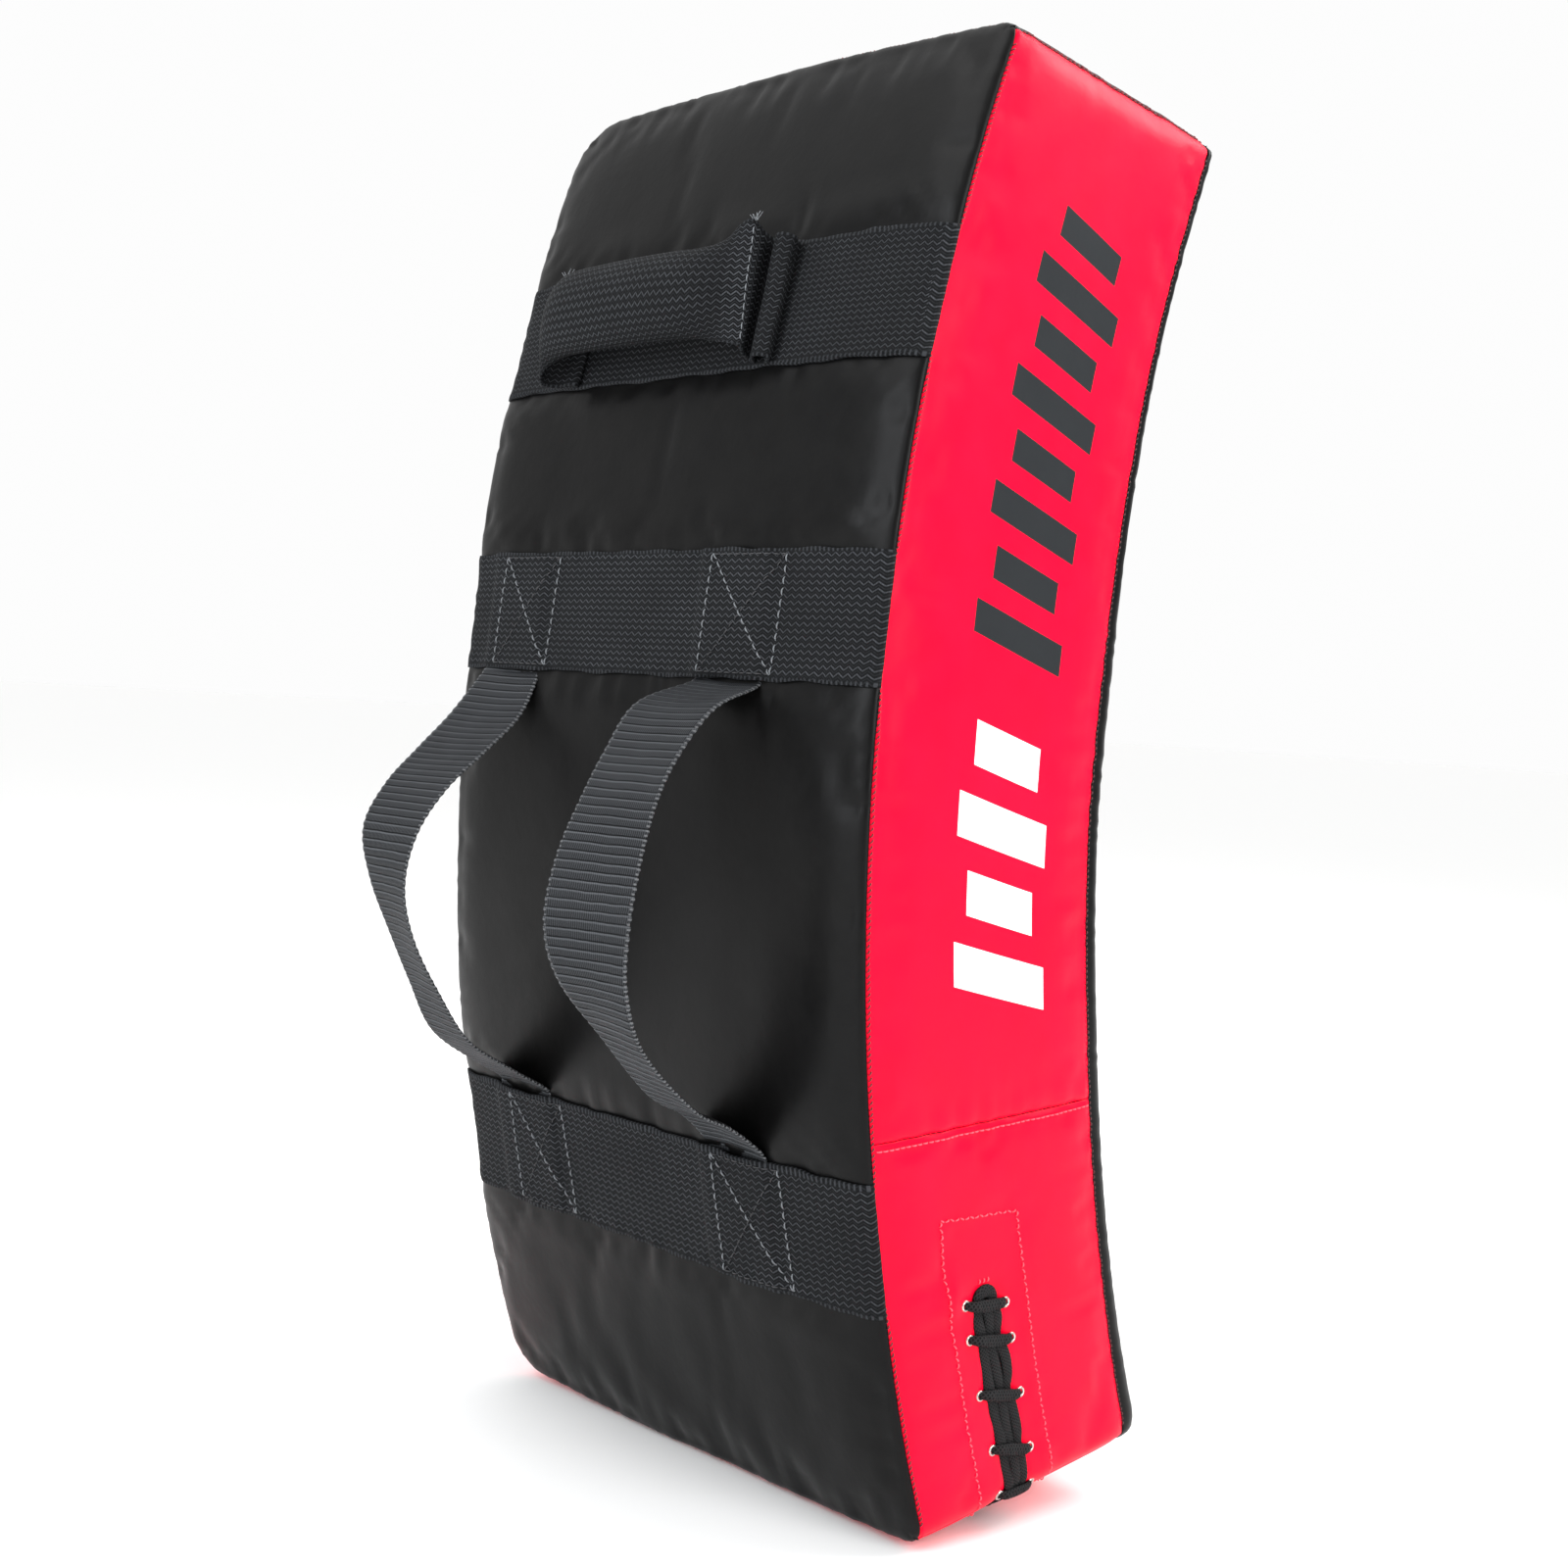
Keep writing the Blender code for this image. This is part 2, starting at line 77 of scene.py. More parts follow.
ROWS_SIDE = (0.0058, 0.0319, 0.0649, 0.0971, 0.1169)
ROWS_END = (0.1600, 0.1300, 0.1000, 0.0700)
PATCH = (0.0425, 0.0962)


def arc_of(z):
    return R_BACK * math.asin(z / R_BACK)


def at(q):
    """(N,3) of x, depth, arc to the row frame."""
    x, d, a = q[:, 0], q[:, 1], q[:, 2]
    s = a / ARC
    by, bz = R_BACK * (1 - np.cos(A_BACK * s)), R_BACK * np.sin(A_BACK * s)
    fy, fz = THICK + R_FRONT * (1 - np.cos(A_FRONT * s)), R_FRONT * np.sin(A_FRONT * s)
    t = d / THICK
    return np.stack([x, Y_BACK + by + (fy - by) * t, Z_MID + bz + (fz - bz) * t], 1)


EDGE = 0.0034
POWER = 2.3
HALF3 = np.array([HX, THICK / 2, ARC])
# outline corners: the tight near ones, and the fuller ones on the far side
CORNERS = {(1, 1): 0.0120, (1, -1): 0.0150, (-1, 1): 0.0300, (-1, -1): 0.0260}


def p_norm_round(p, half, radius):
    inner = half - radius
    c = np.clip(p, -inner, inner)
    v = (p - c) / radius
    n = (np.abs(v) ** POWER).sum(1) ** (1 / POWER)
    m = np.abs(v).max(1)
    return np.where(n[:, None] > 1e-9, c + v / np.maximum(n, 1e-9)[:, None] * m[:, None] * radius, p)


def rounded(q, inset=0.0):
    """Sharp block coordinates to the same block with soft edges and rounded outline corners."""
    p = q.copy()
    p[:, 1] -= THICK / 2
    p = p_norm_round(p, HALF3 - inset, EDGE)
    for (sx, sa), r in CORNERS.items():
        here = (np.sign(p[:, 0]) == sx) & (np.sign(p[:, 2]) == sa)
        if here.any():
            flat = p_norm_round(p[here][:, [0, 2]], HALF3[[0, 2]] - inset, r)
            p[here, 0], p[here, 2] = flat[:, 0], flat[:, 1]
    # the filling bows both ends out a little at mid width
    bow = np.where(p[:, 2] > 0, 0.0042, 0.0026) * (1 - (p[:, 0] / HX) ** 2) * np.abs(p[:, 2] / ARC) ** 6
    p[:, 2] += np.sign(p[:, 2]) * bow
    p[:, 1] += THICK / 2
    return p


def lace_mid(s):
    """Where the lacing's middle line runs: it leans a little, and s is the height above the bottom edge."""
    return np.interp(s, [-0.06, -0.02, 0.0, 0.032, 0.065, 0.097, 0.117], [0.0684, 0.0700, 0.0703, 0.0701, 0.0684, 0.0668, 0.0661])


def lace_half(s):
    return np.interp(s, [-0.04, 0.0058, 0.032, 0.065, 0.097, 0.117], [0.0135, 0.0122, 0.0131, 0.0142, 0.0145, 0.0139])


def lace_tilt(s):
    """How much higher the row's near eyelet sits than its far one, halved."""
    return np.interp(s, [0.0, 0.0058, 0.032, 0.097, 0.117], [0.0, 0.0018, 0.0038, 0.0034, 0.0026])


def bump(t, width):
    return np.exp(-((t / width) ** 2))


def noise_at(p, scale, seed):
    return np.array([noise.noise(Vector((a * scale + seed, b * scale - seed, c * scale + 2.3 * seed))) for a, b, c in p])


# each face of the block: which coordinate is fixed, the two that run over it, and the sign that makes normals point out
FACES = {
    "back": (1, 0.0, 0, 2, 1),
    "strike": (1, THICK, 0, 2, -1),
    "laced": (0, HX, 1, 2, 1),
    "plain": (0, -HX, 1, 2, -1),
    "top": (2, ARC, 0, 1, 1),
    "bottom": (2, -ARC, 0, 1, -1),
}


def edge_distance(face, q):
    fixed, _, u, v, _ = FACES[face]
    def to_edge(i):
        if i == 1:
            return np.minimum(q[:, 1], THICK - q[:, 1])
        return HALF3[i] - np.abs(q[:, i])
    return to_edge(u), to_edge(v)


def band_weight(arc, soft=0.004):
    w = np.zeros(len(arc))
    for z0, z1 in BANDS.values():
        a0, a1 = arc_of(z0), arc_of(z1)
        w += 1 / (1 + np.exp(-(arc - a0) / soft)) / (1 + np.exp((arc - a1) / soft))
    return w


def relief(face, q):
    """How far the cover stands out from the rounded block: filling, seams pulled in, puckers and soft unevenness.

    Along an edge every term is either nothing or the same for both faces, so two panels meet in one line.
    """
    du, dv = edge_distance(face, q)
    fixed, _, u, v, _ = FACES[face]
    x, d, a = q[:, 0], q[:, 1], q[:, 2]
    half_u = THICK / 2 if u == 1 else HALF3[u]
    tu, tv = 1 - du / half_u, 1 - dv / (THICK / 2 if v == 1 else HALF3[v])
    full, reach, crown = {"back": (0.0040, 0.0150, 0.0006), "strike": (0.0036, 0.012, 0.0010), "laced": (0.0028, 0.0080, 0.0006), "plain": (0.0028, 0.0080, 0.0010), "top": (0.0028, 0.0090, 0.0006), "bottom": (0.0024, 0.0090, 0.0003)}[face]
    rise_u, rise_v = 1 - np.exp(-du / reach), 1 - np.exp(-dv / reach)
    h = full * rise_u * rise_v + crown * (1 - np.clip(tu, 0, 1) ** 2) * (1 - np.clip(tv, 0, 1) ** 4)
    near = np.minimum(du, dv)
    seam = np.ones(len(q))
    if face == "laced":
        seam = 1 - 1 / (1 + np.exp((dv - du) / 0.003)) * (a < 0)
    if face == "bottom":
        seam = 1 - 1 / (1 + np.exp((du - dv) / 0.003)) * (x > 0)
    if face == "laced":
        seam = np.where((a < 0) & (dv < du), np.clip(du / 0.006, 0, 1) * 0 + np.exp(-du / 0.004), seam)
    if face == "bottom":
        seam = np.where((x > 0) & (du < dv), np.exp(-dv / 0.004), seam)
    h -= 0.0005 * seam * bump(near, 0.0013)
    # the thread gathers the cover a little between stitches; runs are measured so that both sides of an edge agree
    gather = np.zeros(len(q))
    for axis, dist in ((u, dv), (v, du)):
        run = q[:, axis]
        wob = np.array([noise.noise(Vector((r * 47.0, 3.7 * axis, 0.0))) for r in run])
        fade = np.exp(-dist / 0.011)
        gather += fade * np.sin(run * 2 * math.pi / 0.0135 + 6 * wob) * (0.6 + 0.9 * wob)
    h += 0.00042 * gather * seam
    h += 0.0010 * noise_at(q, 9.0, 1.7) + 0.00030 * noise_at(q * np.array([1, 1, 0.6]), 31.0, 4.4)
    # bands sewn into the back's long seams draw them in
    inward = np.exp(-d / 0.016) if face in ("laced", "plain") else np.ones(len(q))
    if face in ("back", "laced", "plain"):
        side = np.exp(-(HX - np.abs(x)) / 0.030)
        h -= band_weight(a, 0.006) * (0.0010 + 0.0019 * side) * inward
    if face == "back":
        away = 1 - np.exp(-(HX - np.abs(x)) / 0.012)
        for z0, z1 in BANDS.values():
            a0, a1 = arc_of(z0), arc_of(z1)
            for c in (a0 - 0.013, a1 + 0.013):
                h += away * 0.0008 * bump(a - c, 0.010) * (0.7 + 0.6 * np.sin(x * 60 + c * 90))
        # slack folds below the lower band, and short pulls beside each band's ends
        away2 = away * (1 - np.exp(-(ARC - np.abs(a)) / 0.010))
        low = 1 / (1 + np.exp((a + 0.283) / 0.010))
        h += away2 * low * 0.0003 * np.sin((x + 0.25 * a) * 2 * math.pi / 0.055 + 3 * noise_at(q, 12.0, 8.8))
        h += away2 * low * 0.00010 * np.sin((x - 0.12 * a) * 2 * math.pi / 0.024 + 4 * noise_at(q, 18.0, 3.1))
        for z0, z1 in BANDS.values():
            for c, way in ((arc_of(z0) - 0.012, -1), (arc_of(z1) + 0.012, 1)):
                pull = bump(a - c, 0.011) * np.exp(-(HX - np.abs(x)) / 0.035) * away
                h += 0.0006 * pull * np.sin((np.abs(x) * 0.8 + way * a) * 2 * math.pi / 0.016)
    if face == "laced":
        away = 1 - np.exp(-du / 0.006)
        s = a - SEAM_ARC
        h -= away * 0.0011 * bump(s, 0.0018)
        h += away * 0.0004 * bump(s - 0.0050, 0.0040)
        h += away * 0.00032 * np.exp(-np.abs(s) / 0.012) * np.sin(d * 2 * math.pi / 0.0145 + 2 * np.sin(d * 70))
        top = -0.2153 - 0.105 * (d - 0.0398)
        lean = np.clip((a + ARC) / 0.160, 0, 1)
        p0, p1 = PATCH[0] - 0.0027 * lean, PATCH[1] - 0.0022 * lean
        field = 1 / (1 + np.exp(-(d - p0) / 0.0006)) / (1 + np.exp((d - p1) / 0.0006)) / (1 + np.exp((a - top) / 0.0006))
        h += 0.0005 * field
        for c, along in ((d - p0, a < top), (d - p1, a < top), (a - top, (d > p0) & (d < p1))):
            h -= 0.00035 * bump(c, 0.0011) * along
        # the corner of the facing lifts beside the first row of eyelets
        h += 0.0015 * bump(d - 0.0455, 0.0060) * bump(a + ARC - 0.1270, 0.0100)
        h -= 0.0008 * bump(d - 0.047, 0.006) * bump(a + ARC - 0.1080, 0.0060)
        # soft dents near the lower far corner
        h -= 0.0014 * bump(d - 0.1330, 0.010) * bump(a + ARC - 0.030, 0.014)
    if face in ("laced", "bottom"):
        if face == "laced":
            w = 1 / (1 + np.exp((a + ARC - 0.1270) / 0.0025))
        else:
            w = 1 / (1 + np.exp(-(x - 0.0520) / 0.0025))
        high = a + ARC if face == "laced" else x - HX
        off = np.abs(d - lace_mid(high))
        h -= w * 0.0021 * np.exp(-np.maximum(off - 0.0062, 0) / 0.0042)
        rows = [-ARC + r for r in ROWS_SIDE] if face == "laced" else ROWS_END
        for r in rows:
            t = a - r if face == "laced" else x - r
            if face == "laced":
                t = t + np.sign(d - lace_mid(high)) * lace_tilt(r + ARC)
            h -= 0.0009 * bump(t, 0.0045) * bump(off - lace_half(high), 0.0045)
        if face == "laced":
            for r0, r1 in zip(rows, rows[1:]):
                h += 0.0006 * bump(a - (r0 + r1) / 2, 0.008) * bump(off - 0.009, 0.005) * w
    return h


def roll_over(q):
    """The strike cover stands past its seam and turns over with a soft roll, fuller towards the middle and bottom."""
    x, a = q[:, 0].copy(), q[:, 2].copy()
    r = 0.0026 + 0.0056 / (1 + np.exp((a - 0.150) / 0.040)) + 0.0022 / (1 + np.exp((a + 0.16) / 0.05))
    out = []
    for value, half, rad in ((x, HX, r), (a, ARC, 0.8 * r)):
        s = np.clip(half - np.abs(value), 0, None)
        th = np.clip(s / rad, 0, 1) * math.pi / 2
        inset = np.where(s < rad, rad * (1 - np.cos(th)), s)
        out.append((np.sign(value) * (half - inset), np.sin(th)))
    new = np.stack([out[0][0], q[:, 1], out[1][0]], 1)
    return new, r * out[0][1] * out[1][1]


SETTLED = {}  # face -> (stations, stations, how far the simulated cover lifts off the filled shape)


def settled(face, q):
    if face not in SETTLED:
        return np.zeros(len(q))
    fixed, _, u, v, _ = FACES[face]
    gu, gv, field = SETTLED[face]
    i = np.clip(np.searchsorted(gu, q[:, u]) - 1, 0, len(gu) - 2)
    j = np.clip(np.searchsorted(gv, q[:, v]) - 1, 0, len(gv) - 2)
    s_, t_ = np.clip((q[:, u] - gu[i]) / (gu[i + 1] - gu[i]), 0, 1), np.clip((q[:, v] - gv[j]) / (gv[j + 1] - gv[j]), 0, 1)
    s_, t_ = s_ * s_ * (3 - 2 * s_), t_ * t_ * (3 - 2 * t_)
    return field[i, j] * (1 - s_) * (1 - t_) + field[i + 1, j] * s_ * (1 - t_) + field[i, j + 1] * (1 - s_) * t_ + field[i + 1, j + 1] * s_ * t_


def skin(face, q):
    """The cover's outer surface: positions and outward normals for block coordinates on one face."""
    fixed, value, u, v, sign = FACES[face]
    q = np.asarray(q, float).copy()
    q[:, fixed] = value
    eps = 0.0004
    qu, qv = q.copy(), q.copy()
    qu[:, u] -= eps * np.sign(qu[:, u] - (THICK / 2 if u == 1 else 0) + 1e-12)
    qv[:, v] -= eps * np.sign(qv[:, v] - (THICK / 2 if v == 1 else 0) + 1e-12)
    if face == "strike":
        def place(k):
            new, rise = roll_over(k)
            b = rounded(new)
            b[:, 1] += rise
            return at(b)
    else:
        def place(k):
            return at(rounded(k))
    p, pu, pv = place(q), place(qu), place(qv)
    su = -np.sign(q[:, u] - (THICK / 2 if u == 1 else 0) + 1e-12)[:, None]
    sv = -np.sign(q[:, v] - (THICK / 2 if v == 1 else 0) + 1e-12)[:, None]
    n = np.cross((pu - p) * su, (pv - p) * sv)
    n /= np.maximum(np.linalg.norm(n, axis=1), 1e-12)[:, None]
    out = {"back": (0, -1, 0), "strike": (0, 1, 0), "laced": (1, 0, 0), "plain": (-1, 0, 0), "top": (0, 0, 1), "bottom": (0, 0, -1)}[face]
    n *= np.sign((n @ np.array(out, float)))[:, None]
    return p + n * (relief(face, q) + settled(face, q))[:, None], n


# ------------------------------------------------------------------ mesh helpers
PIECES = []


def new_object(name, verts, faces, uv=None, smooth=True):
    mesh = bpy.data.meshes.new(name)
    mesh.from_pydata([tuple(v) for v in verts], [], [tuple(int(i) for i in f) for f in faces])
    if uv is not None:
        layer = mesh.uv_layers.new(name="weave")
        index = np.empty(len(mesh.loops), np.int32)
        mesh.loops.foreach_get("vertex_index", index)
        layer.data.foreach_set("uv", np.asarray(uv, np.float32)[index].reshape(-1))
    mesh.validate()
    if smooth:
        mesh.shade_smooth()
    obj = bpy.data.objects.new(name, mesh)
    scene.collection.objects.link(obj)
    PIECES.append(obj)
    return obj


def grid_faces(n, m, mask=None):
    i, j = np.meshgrid(np.arange(n - 1), np.arange(m - 1), indexing="ij")
    a = (i * m + j).reshape(-1)
    f = np.stack([a, a + m, a + m + 1, a + 1], 1)
    return f if mask is None else f[mask.reshape(-1)]


def apply_modifiers(obj):
    graph = bpy.context.evaluated_depsgraph_get()
    mesh = bpy.data.meshes.new_from_object(obj.evaluated_get(graph))
    old = obj.data
    obj.modifiers.clear()
    obj.data = mesh
    bpy.data.meshes.remove(old)


def paint(obj, mat):
    obj.data.materials.clear()
    obj.data.materials.append(mat)


def sweep(points, normals, section, closed_ends=True, twist=None):
    """A closed section (K,2: across, up) along points; up is the normal there. Returns verts, faces, uv."""
    p, n = np.asarray(points, float), np.asarray(normals, float)
    t = np.gradient(p, axis=0)
    t /= np.maximum(np.linalg.norm(t, axis=1), 1e-12)[:, None]
    n = n - (n * t).sum(1)[:, None] * t
    n /= np.maximum(np.linalg.norm(n, axis=1), 1e-12)[:, None]
    s = np.cross(t, n)
    sec = np.asarray(section, float)
    if sec.ndim == 2:
        sec = np.repeat(sec[None], len(p), 0)
    verts = p[:, None] + s[:, None] * sec[:, :, :1] + n[:, None] * sec[:, :, 1:]
    k = sec.shape[1]
    faces = []
    for i in range(len(p) - 1):
        for j in range(k):
            a, b = i * k + j, i * k + (j + 1) % k
            faces.append((a, b, b + k, a + k))
    if closed_ends:
        faces.append(tuple(range(k))[::-1])
        faces.append(tuple((len(p) - 1) * k + j for j in range(k)))
    length = np.concatenate([[0], np.cumsum(np.linalg.norm(np.diff(p, axis=0), axis=1))])
    girth = np.concatenate([[0], np.cumsum(np.linalg.norm(np.diff(sec[0], axis=0), axis=1))])
    uv = np.stack([np.repeat(length, k), np.tile(girth, len(p))], 1)
    return verts.reshape(-1, 3), faces, uv


def oval(w, h, k=12, flat=2.4):
    out = []
    for i in range(k):
        a = 2 * math.pi * i / k
        c, s = math.cos(a), math.sin(a)
        out.append((w / 2 * abs(c) ** (2 / flat) * (1 if c >= 0 else -1), h / 2 * abs(s) ** (2 / flat) * (1 if s >= 0 else -1)))
    return out


def resample(points, step):
    p = np.asarray(points, float)
    d = np.concatenate([[0], np.cumsum(np.linalg.norm(np.diff(p, axis=0), axis=1))])
    n = max(2, int(round(d[-1] / step)) + 1)
    at_d = np.linspace(0, d[-1], n)
    return np.stack([np.interp(at_d, d, p[:, i]) for i in range(p.shape[1])], 1)


def smooth_line(points, n):
    pts = [np.array(p, float) for p in points]
    pts = [2 * pts[0] - pts[1]] + pts + [2 * pts[-1] - pts[-2]]
    out = []
    for i in range(1, len(pts) - 2):
        a, b, c, d = pts[i - 1 : i + 3]
        for k in range(n):
            t = k / n
            out.append(0.5 * (2 * b + (c - a) * t + (2 * a - 5 * b + 4 * c - d) * t**2 + (3 * b - a - 3 * c + d) * t**3))
    out.append(pts[-2])
    return np.array(out)


def stitch_line(store, points, normals, pitch=0.0042, length=0.0031, r=0.00042, lift=0.0002, slant=0.0, zigzag=False):
    """Adds thread stitches along a polyline to a store of verts and faces."""
    p = np.asarray(points, float)
    n = np.asarray(normals, float)
    d = np.concatenate([[0], np.cumsum(np.linalg.norm(np.diff(p, axis=0), axis=1))])
    count = max(1, int(d[-1] / pitch))
    spots = (np.arange(count) + 0.5) * d[-1] / count
    def sample(s):
        return np.array([np.interp(s, d, p[:, i]) for i in range(3)]), np.array([np.interp(s, d, n[:, i]) for i in range(3)])
    ring, k = 5, 6
    for number, s in enumerate(spots):
        a, na = sample(s - length / 2)
        b, nb = sample(s + length / 2)
        m, nm = sample(s)
        nm = nm / np.linalg.norm(nm)
        t = b - a
        size = np.linalg.norm(t)
        if size < 1e-6:
            continue
        t /= size
        side = np.cross(t, nm)
        side /= np.linalg.norm(side)
        lean = slant * (-1 if zigzag and number % 2 else 1)
        a, b = a - side * lean / 2, b + side * lean / 2
        base = len(store["v"])
        jit = 0.00012 * math.sin(number * 12.9898)
        for i in range(ring):
            f = i / (ring - 1)
            c = a + (b - a) * f + nm * (lift + r * 0.9 * math.sin(math.pi * f) - r * 0.7 * (f in (0, 1))) + side * jit
            rad = r * (0.25 + 0.75 * math.sin(math.pi * min(max(f, 0.12), 0.88)) ** 0.5)
            for j in range(k):
                w = 2 * math.pi * j / k
                store["v"].append(c + side * (rad * math.cos(w)) + nm * (rad * math.sin(w)))
        for i in range(ring - 1):
            for j in range(k):
                x, y = base + i * k + j, base + i * k + (j + 1) % k
                store["f"].append((x, x + k, y + k, y))
        store["f"].append(tuple(base + j for j in range(k)))
        store["f"].append(tuple(base + (ring - 1) * k + j for j in range(k))[::-1])


def stitches(name, body, mat, slot, lines, **kw):
    store = {"v": [], "f": []}
    for points, normals in lines:
        stitch_line(store, points, normals, **kw)
    obj = new_object(name, store["v"], store["f"])
    bm = bmesh.new()
    bm.from_mesh(obj.data)
    bmesh.ops.recalc_face_normals(bm, faces=bm.faces)
    bm.to_mesh(obj.data)
    bm.free()
    paint(obj, mat)
    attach(obj, body)
    return obj


# ------------------------------------------------------------------ materials
class Nodes:
    def __init__(self, name, colour=(0.5, 0.5, 0.5), roughness=0.5, metallic=0.0, **sockets):
        self.mat = bpy.data.materials.new(name)
        self.mat.use_nodes = True
        self.tree = self.mat.node_tree
        self.shader = self.tree.nodes["Principled BSDF"]
        self.shader.inputs["Base Color"].default_value = (*colour, 1)
        self.shader.inputs["Roughness"].default_value = roughness
        self.shader.inputs["Metallic"].default_value = metallic
        for key, value in sockets.items():
            self.shader.inputs[key.replace("_", " ")].default_value = value

    def node(self, kind, **props):
        n = self.tree.nodes.new(kind)
        for k, v in props.items():
            setattr(n, k, v)
        return n

    def put(self, socket, value):
        if isinstance(value, bpy.types.NodeSocket):
            self.tree.links.new(value, socket)
        elif isinstance(value, (tuple, list)) and len(value) == 3 and socket.type == "RGBA":
            socket.default_value = (*value, 1)
        else:
            socket.default_value = value

    def math(self, op, a, b=0.0, c=0.0, clamp=False):
        n = self.node("ShaderNodeMath", operation=op, use_clamp=clamp)
        self.put(n.inputs[0], a)
        self.put(n.inputs[1], b)
        self.put(n.inputs[2], c)
        return n.outputs[0]

    def coords(self):
        return self.node("ShaderNodeTexCoord").outputs["Object"]

    def uv(self):
        n = self.node("ShaderNodeUVMap", uv_map="weave")
        s = self.node("ShaderNodeSeparateXYZ")
        self.tree.links.new(n.outputs["UV"], s.inputs[0])
        return s.outputs["X"], s.outputs["Y"]

    def noise(self, scale, detail=3.0, rough=0.55, vector=None, distortion=0.0):
        n = self.node("ShaderNodeTexNoise")
        self.put(n.inputs["Vector"], vector if vector is not None else self.coords())
        n.inputs["Scale"].default_value = scale
        n.inputs["Detail"].default_value = detail
        n.inputs["Roughness"].default_value = rough
        n.inputs["Distortion"].default_value = distortion
        return n.outputs["Fac"]

    def voronoi(self, scale, feature="F1", out="Distance", vector=None, rand=1.0):
        n = self.node("ShaderNodeTexVoronoi", feature=feature)
        self.put(n.inputs["Vector"], vector if vector is not None else self.coords())
        n.inputs["Scale"].default_value = scale
        n.inputs["Randomness"].default_value = rand
        return n.outputs[out]

    def mix(self, f, a, b):
        n = self.node("ShaderNodeMix", data_type="RGBA")
        self.put(n.inputs[0], f)
        self.put(n.inputs[6], a)
        self.put(n.inputs[7], b)
        return n.outputs[2]

    def span(self, value, a, b, c=0.0, d=1.0):
        n = self.node("ShaderNodeMapRange")
        self.put(n.inputs[0], value)
        for i, x in enumerate((a, b, c, d)):
            n.inputs[i + 1].default_value = x
        return n.outputs[0]

    def bump(self, height, strength, distance, after=None):
        n = self.node("ShaderNodeBump")
        n.inputs["Strength"].default_value = strength
        n.inputs["Distance"].default_value = distance
        self.put(n.inputs["Height"], height)
        if after is not None:
            self.put(n.inputs["Normal"], after)
        return n.outputs[0]

    def link(self, name, value):
        self.put(self.shader.inputs[name], value)


def leatherette(name, dark, light, rough, grain=1.0, **kw):
    m = Nodes(name, **kw)
    patch = m.noise(7.0, 3, 0.6)
    fine = m.noise(60.0, 3, 0.6)
    m.link("Base Color", m.mix(m.span(m.math("ADD", m.math("MULTIPLY", patch, 0.7), m.math("MULTIPLY", fine, 0.3)), 0.3, 0.7), dark, light))
    scuff = m.noise(23.0, 5, 0.7, distortion=0.6)
    m.link("Roughness", m.span(m.math("ADD", m.math("MULTIPLY", scuff, 0.6), m.math("MULTIPLY", fine, 0.4)), 0.25, 0.75, rough - 0.06, rough + 0.09))
    cells = m.voronoi(1150.0, "DISTANCE_TO_EDGE")
    creases = m.span(cells, 0.0, 0.22, 0.0, 1.0)
    pores = m.noise(2400.0, 2, 0.5)
    height = m.math("ADD", m.math("MULTIPLY", creases, 0.8), m.math("MULTIPLY", pores, 0.4))
    first = m.bump(height, 0.14 * grain, 0.00005)
    m.link("Normal", m.bump(m.noise(34.0, 4, 0.6), 0.35, 0.0009, first))
    return m


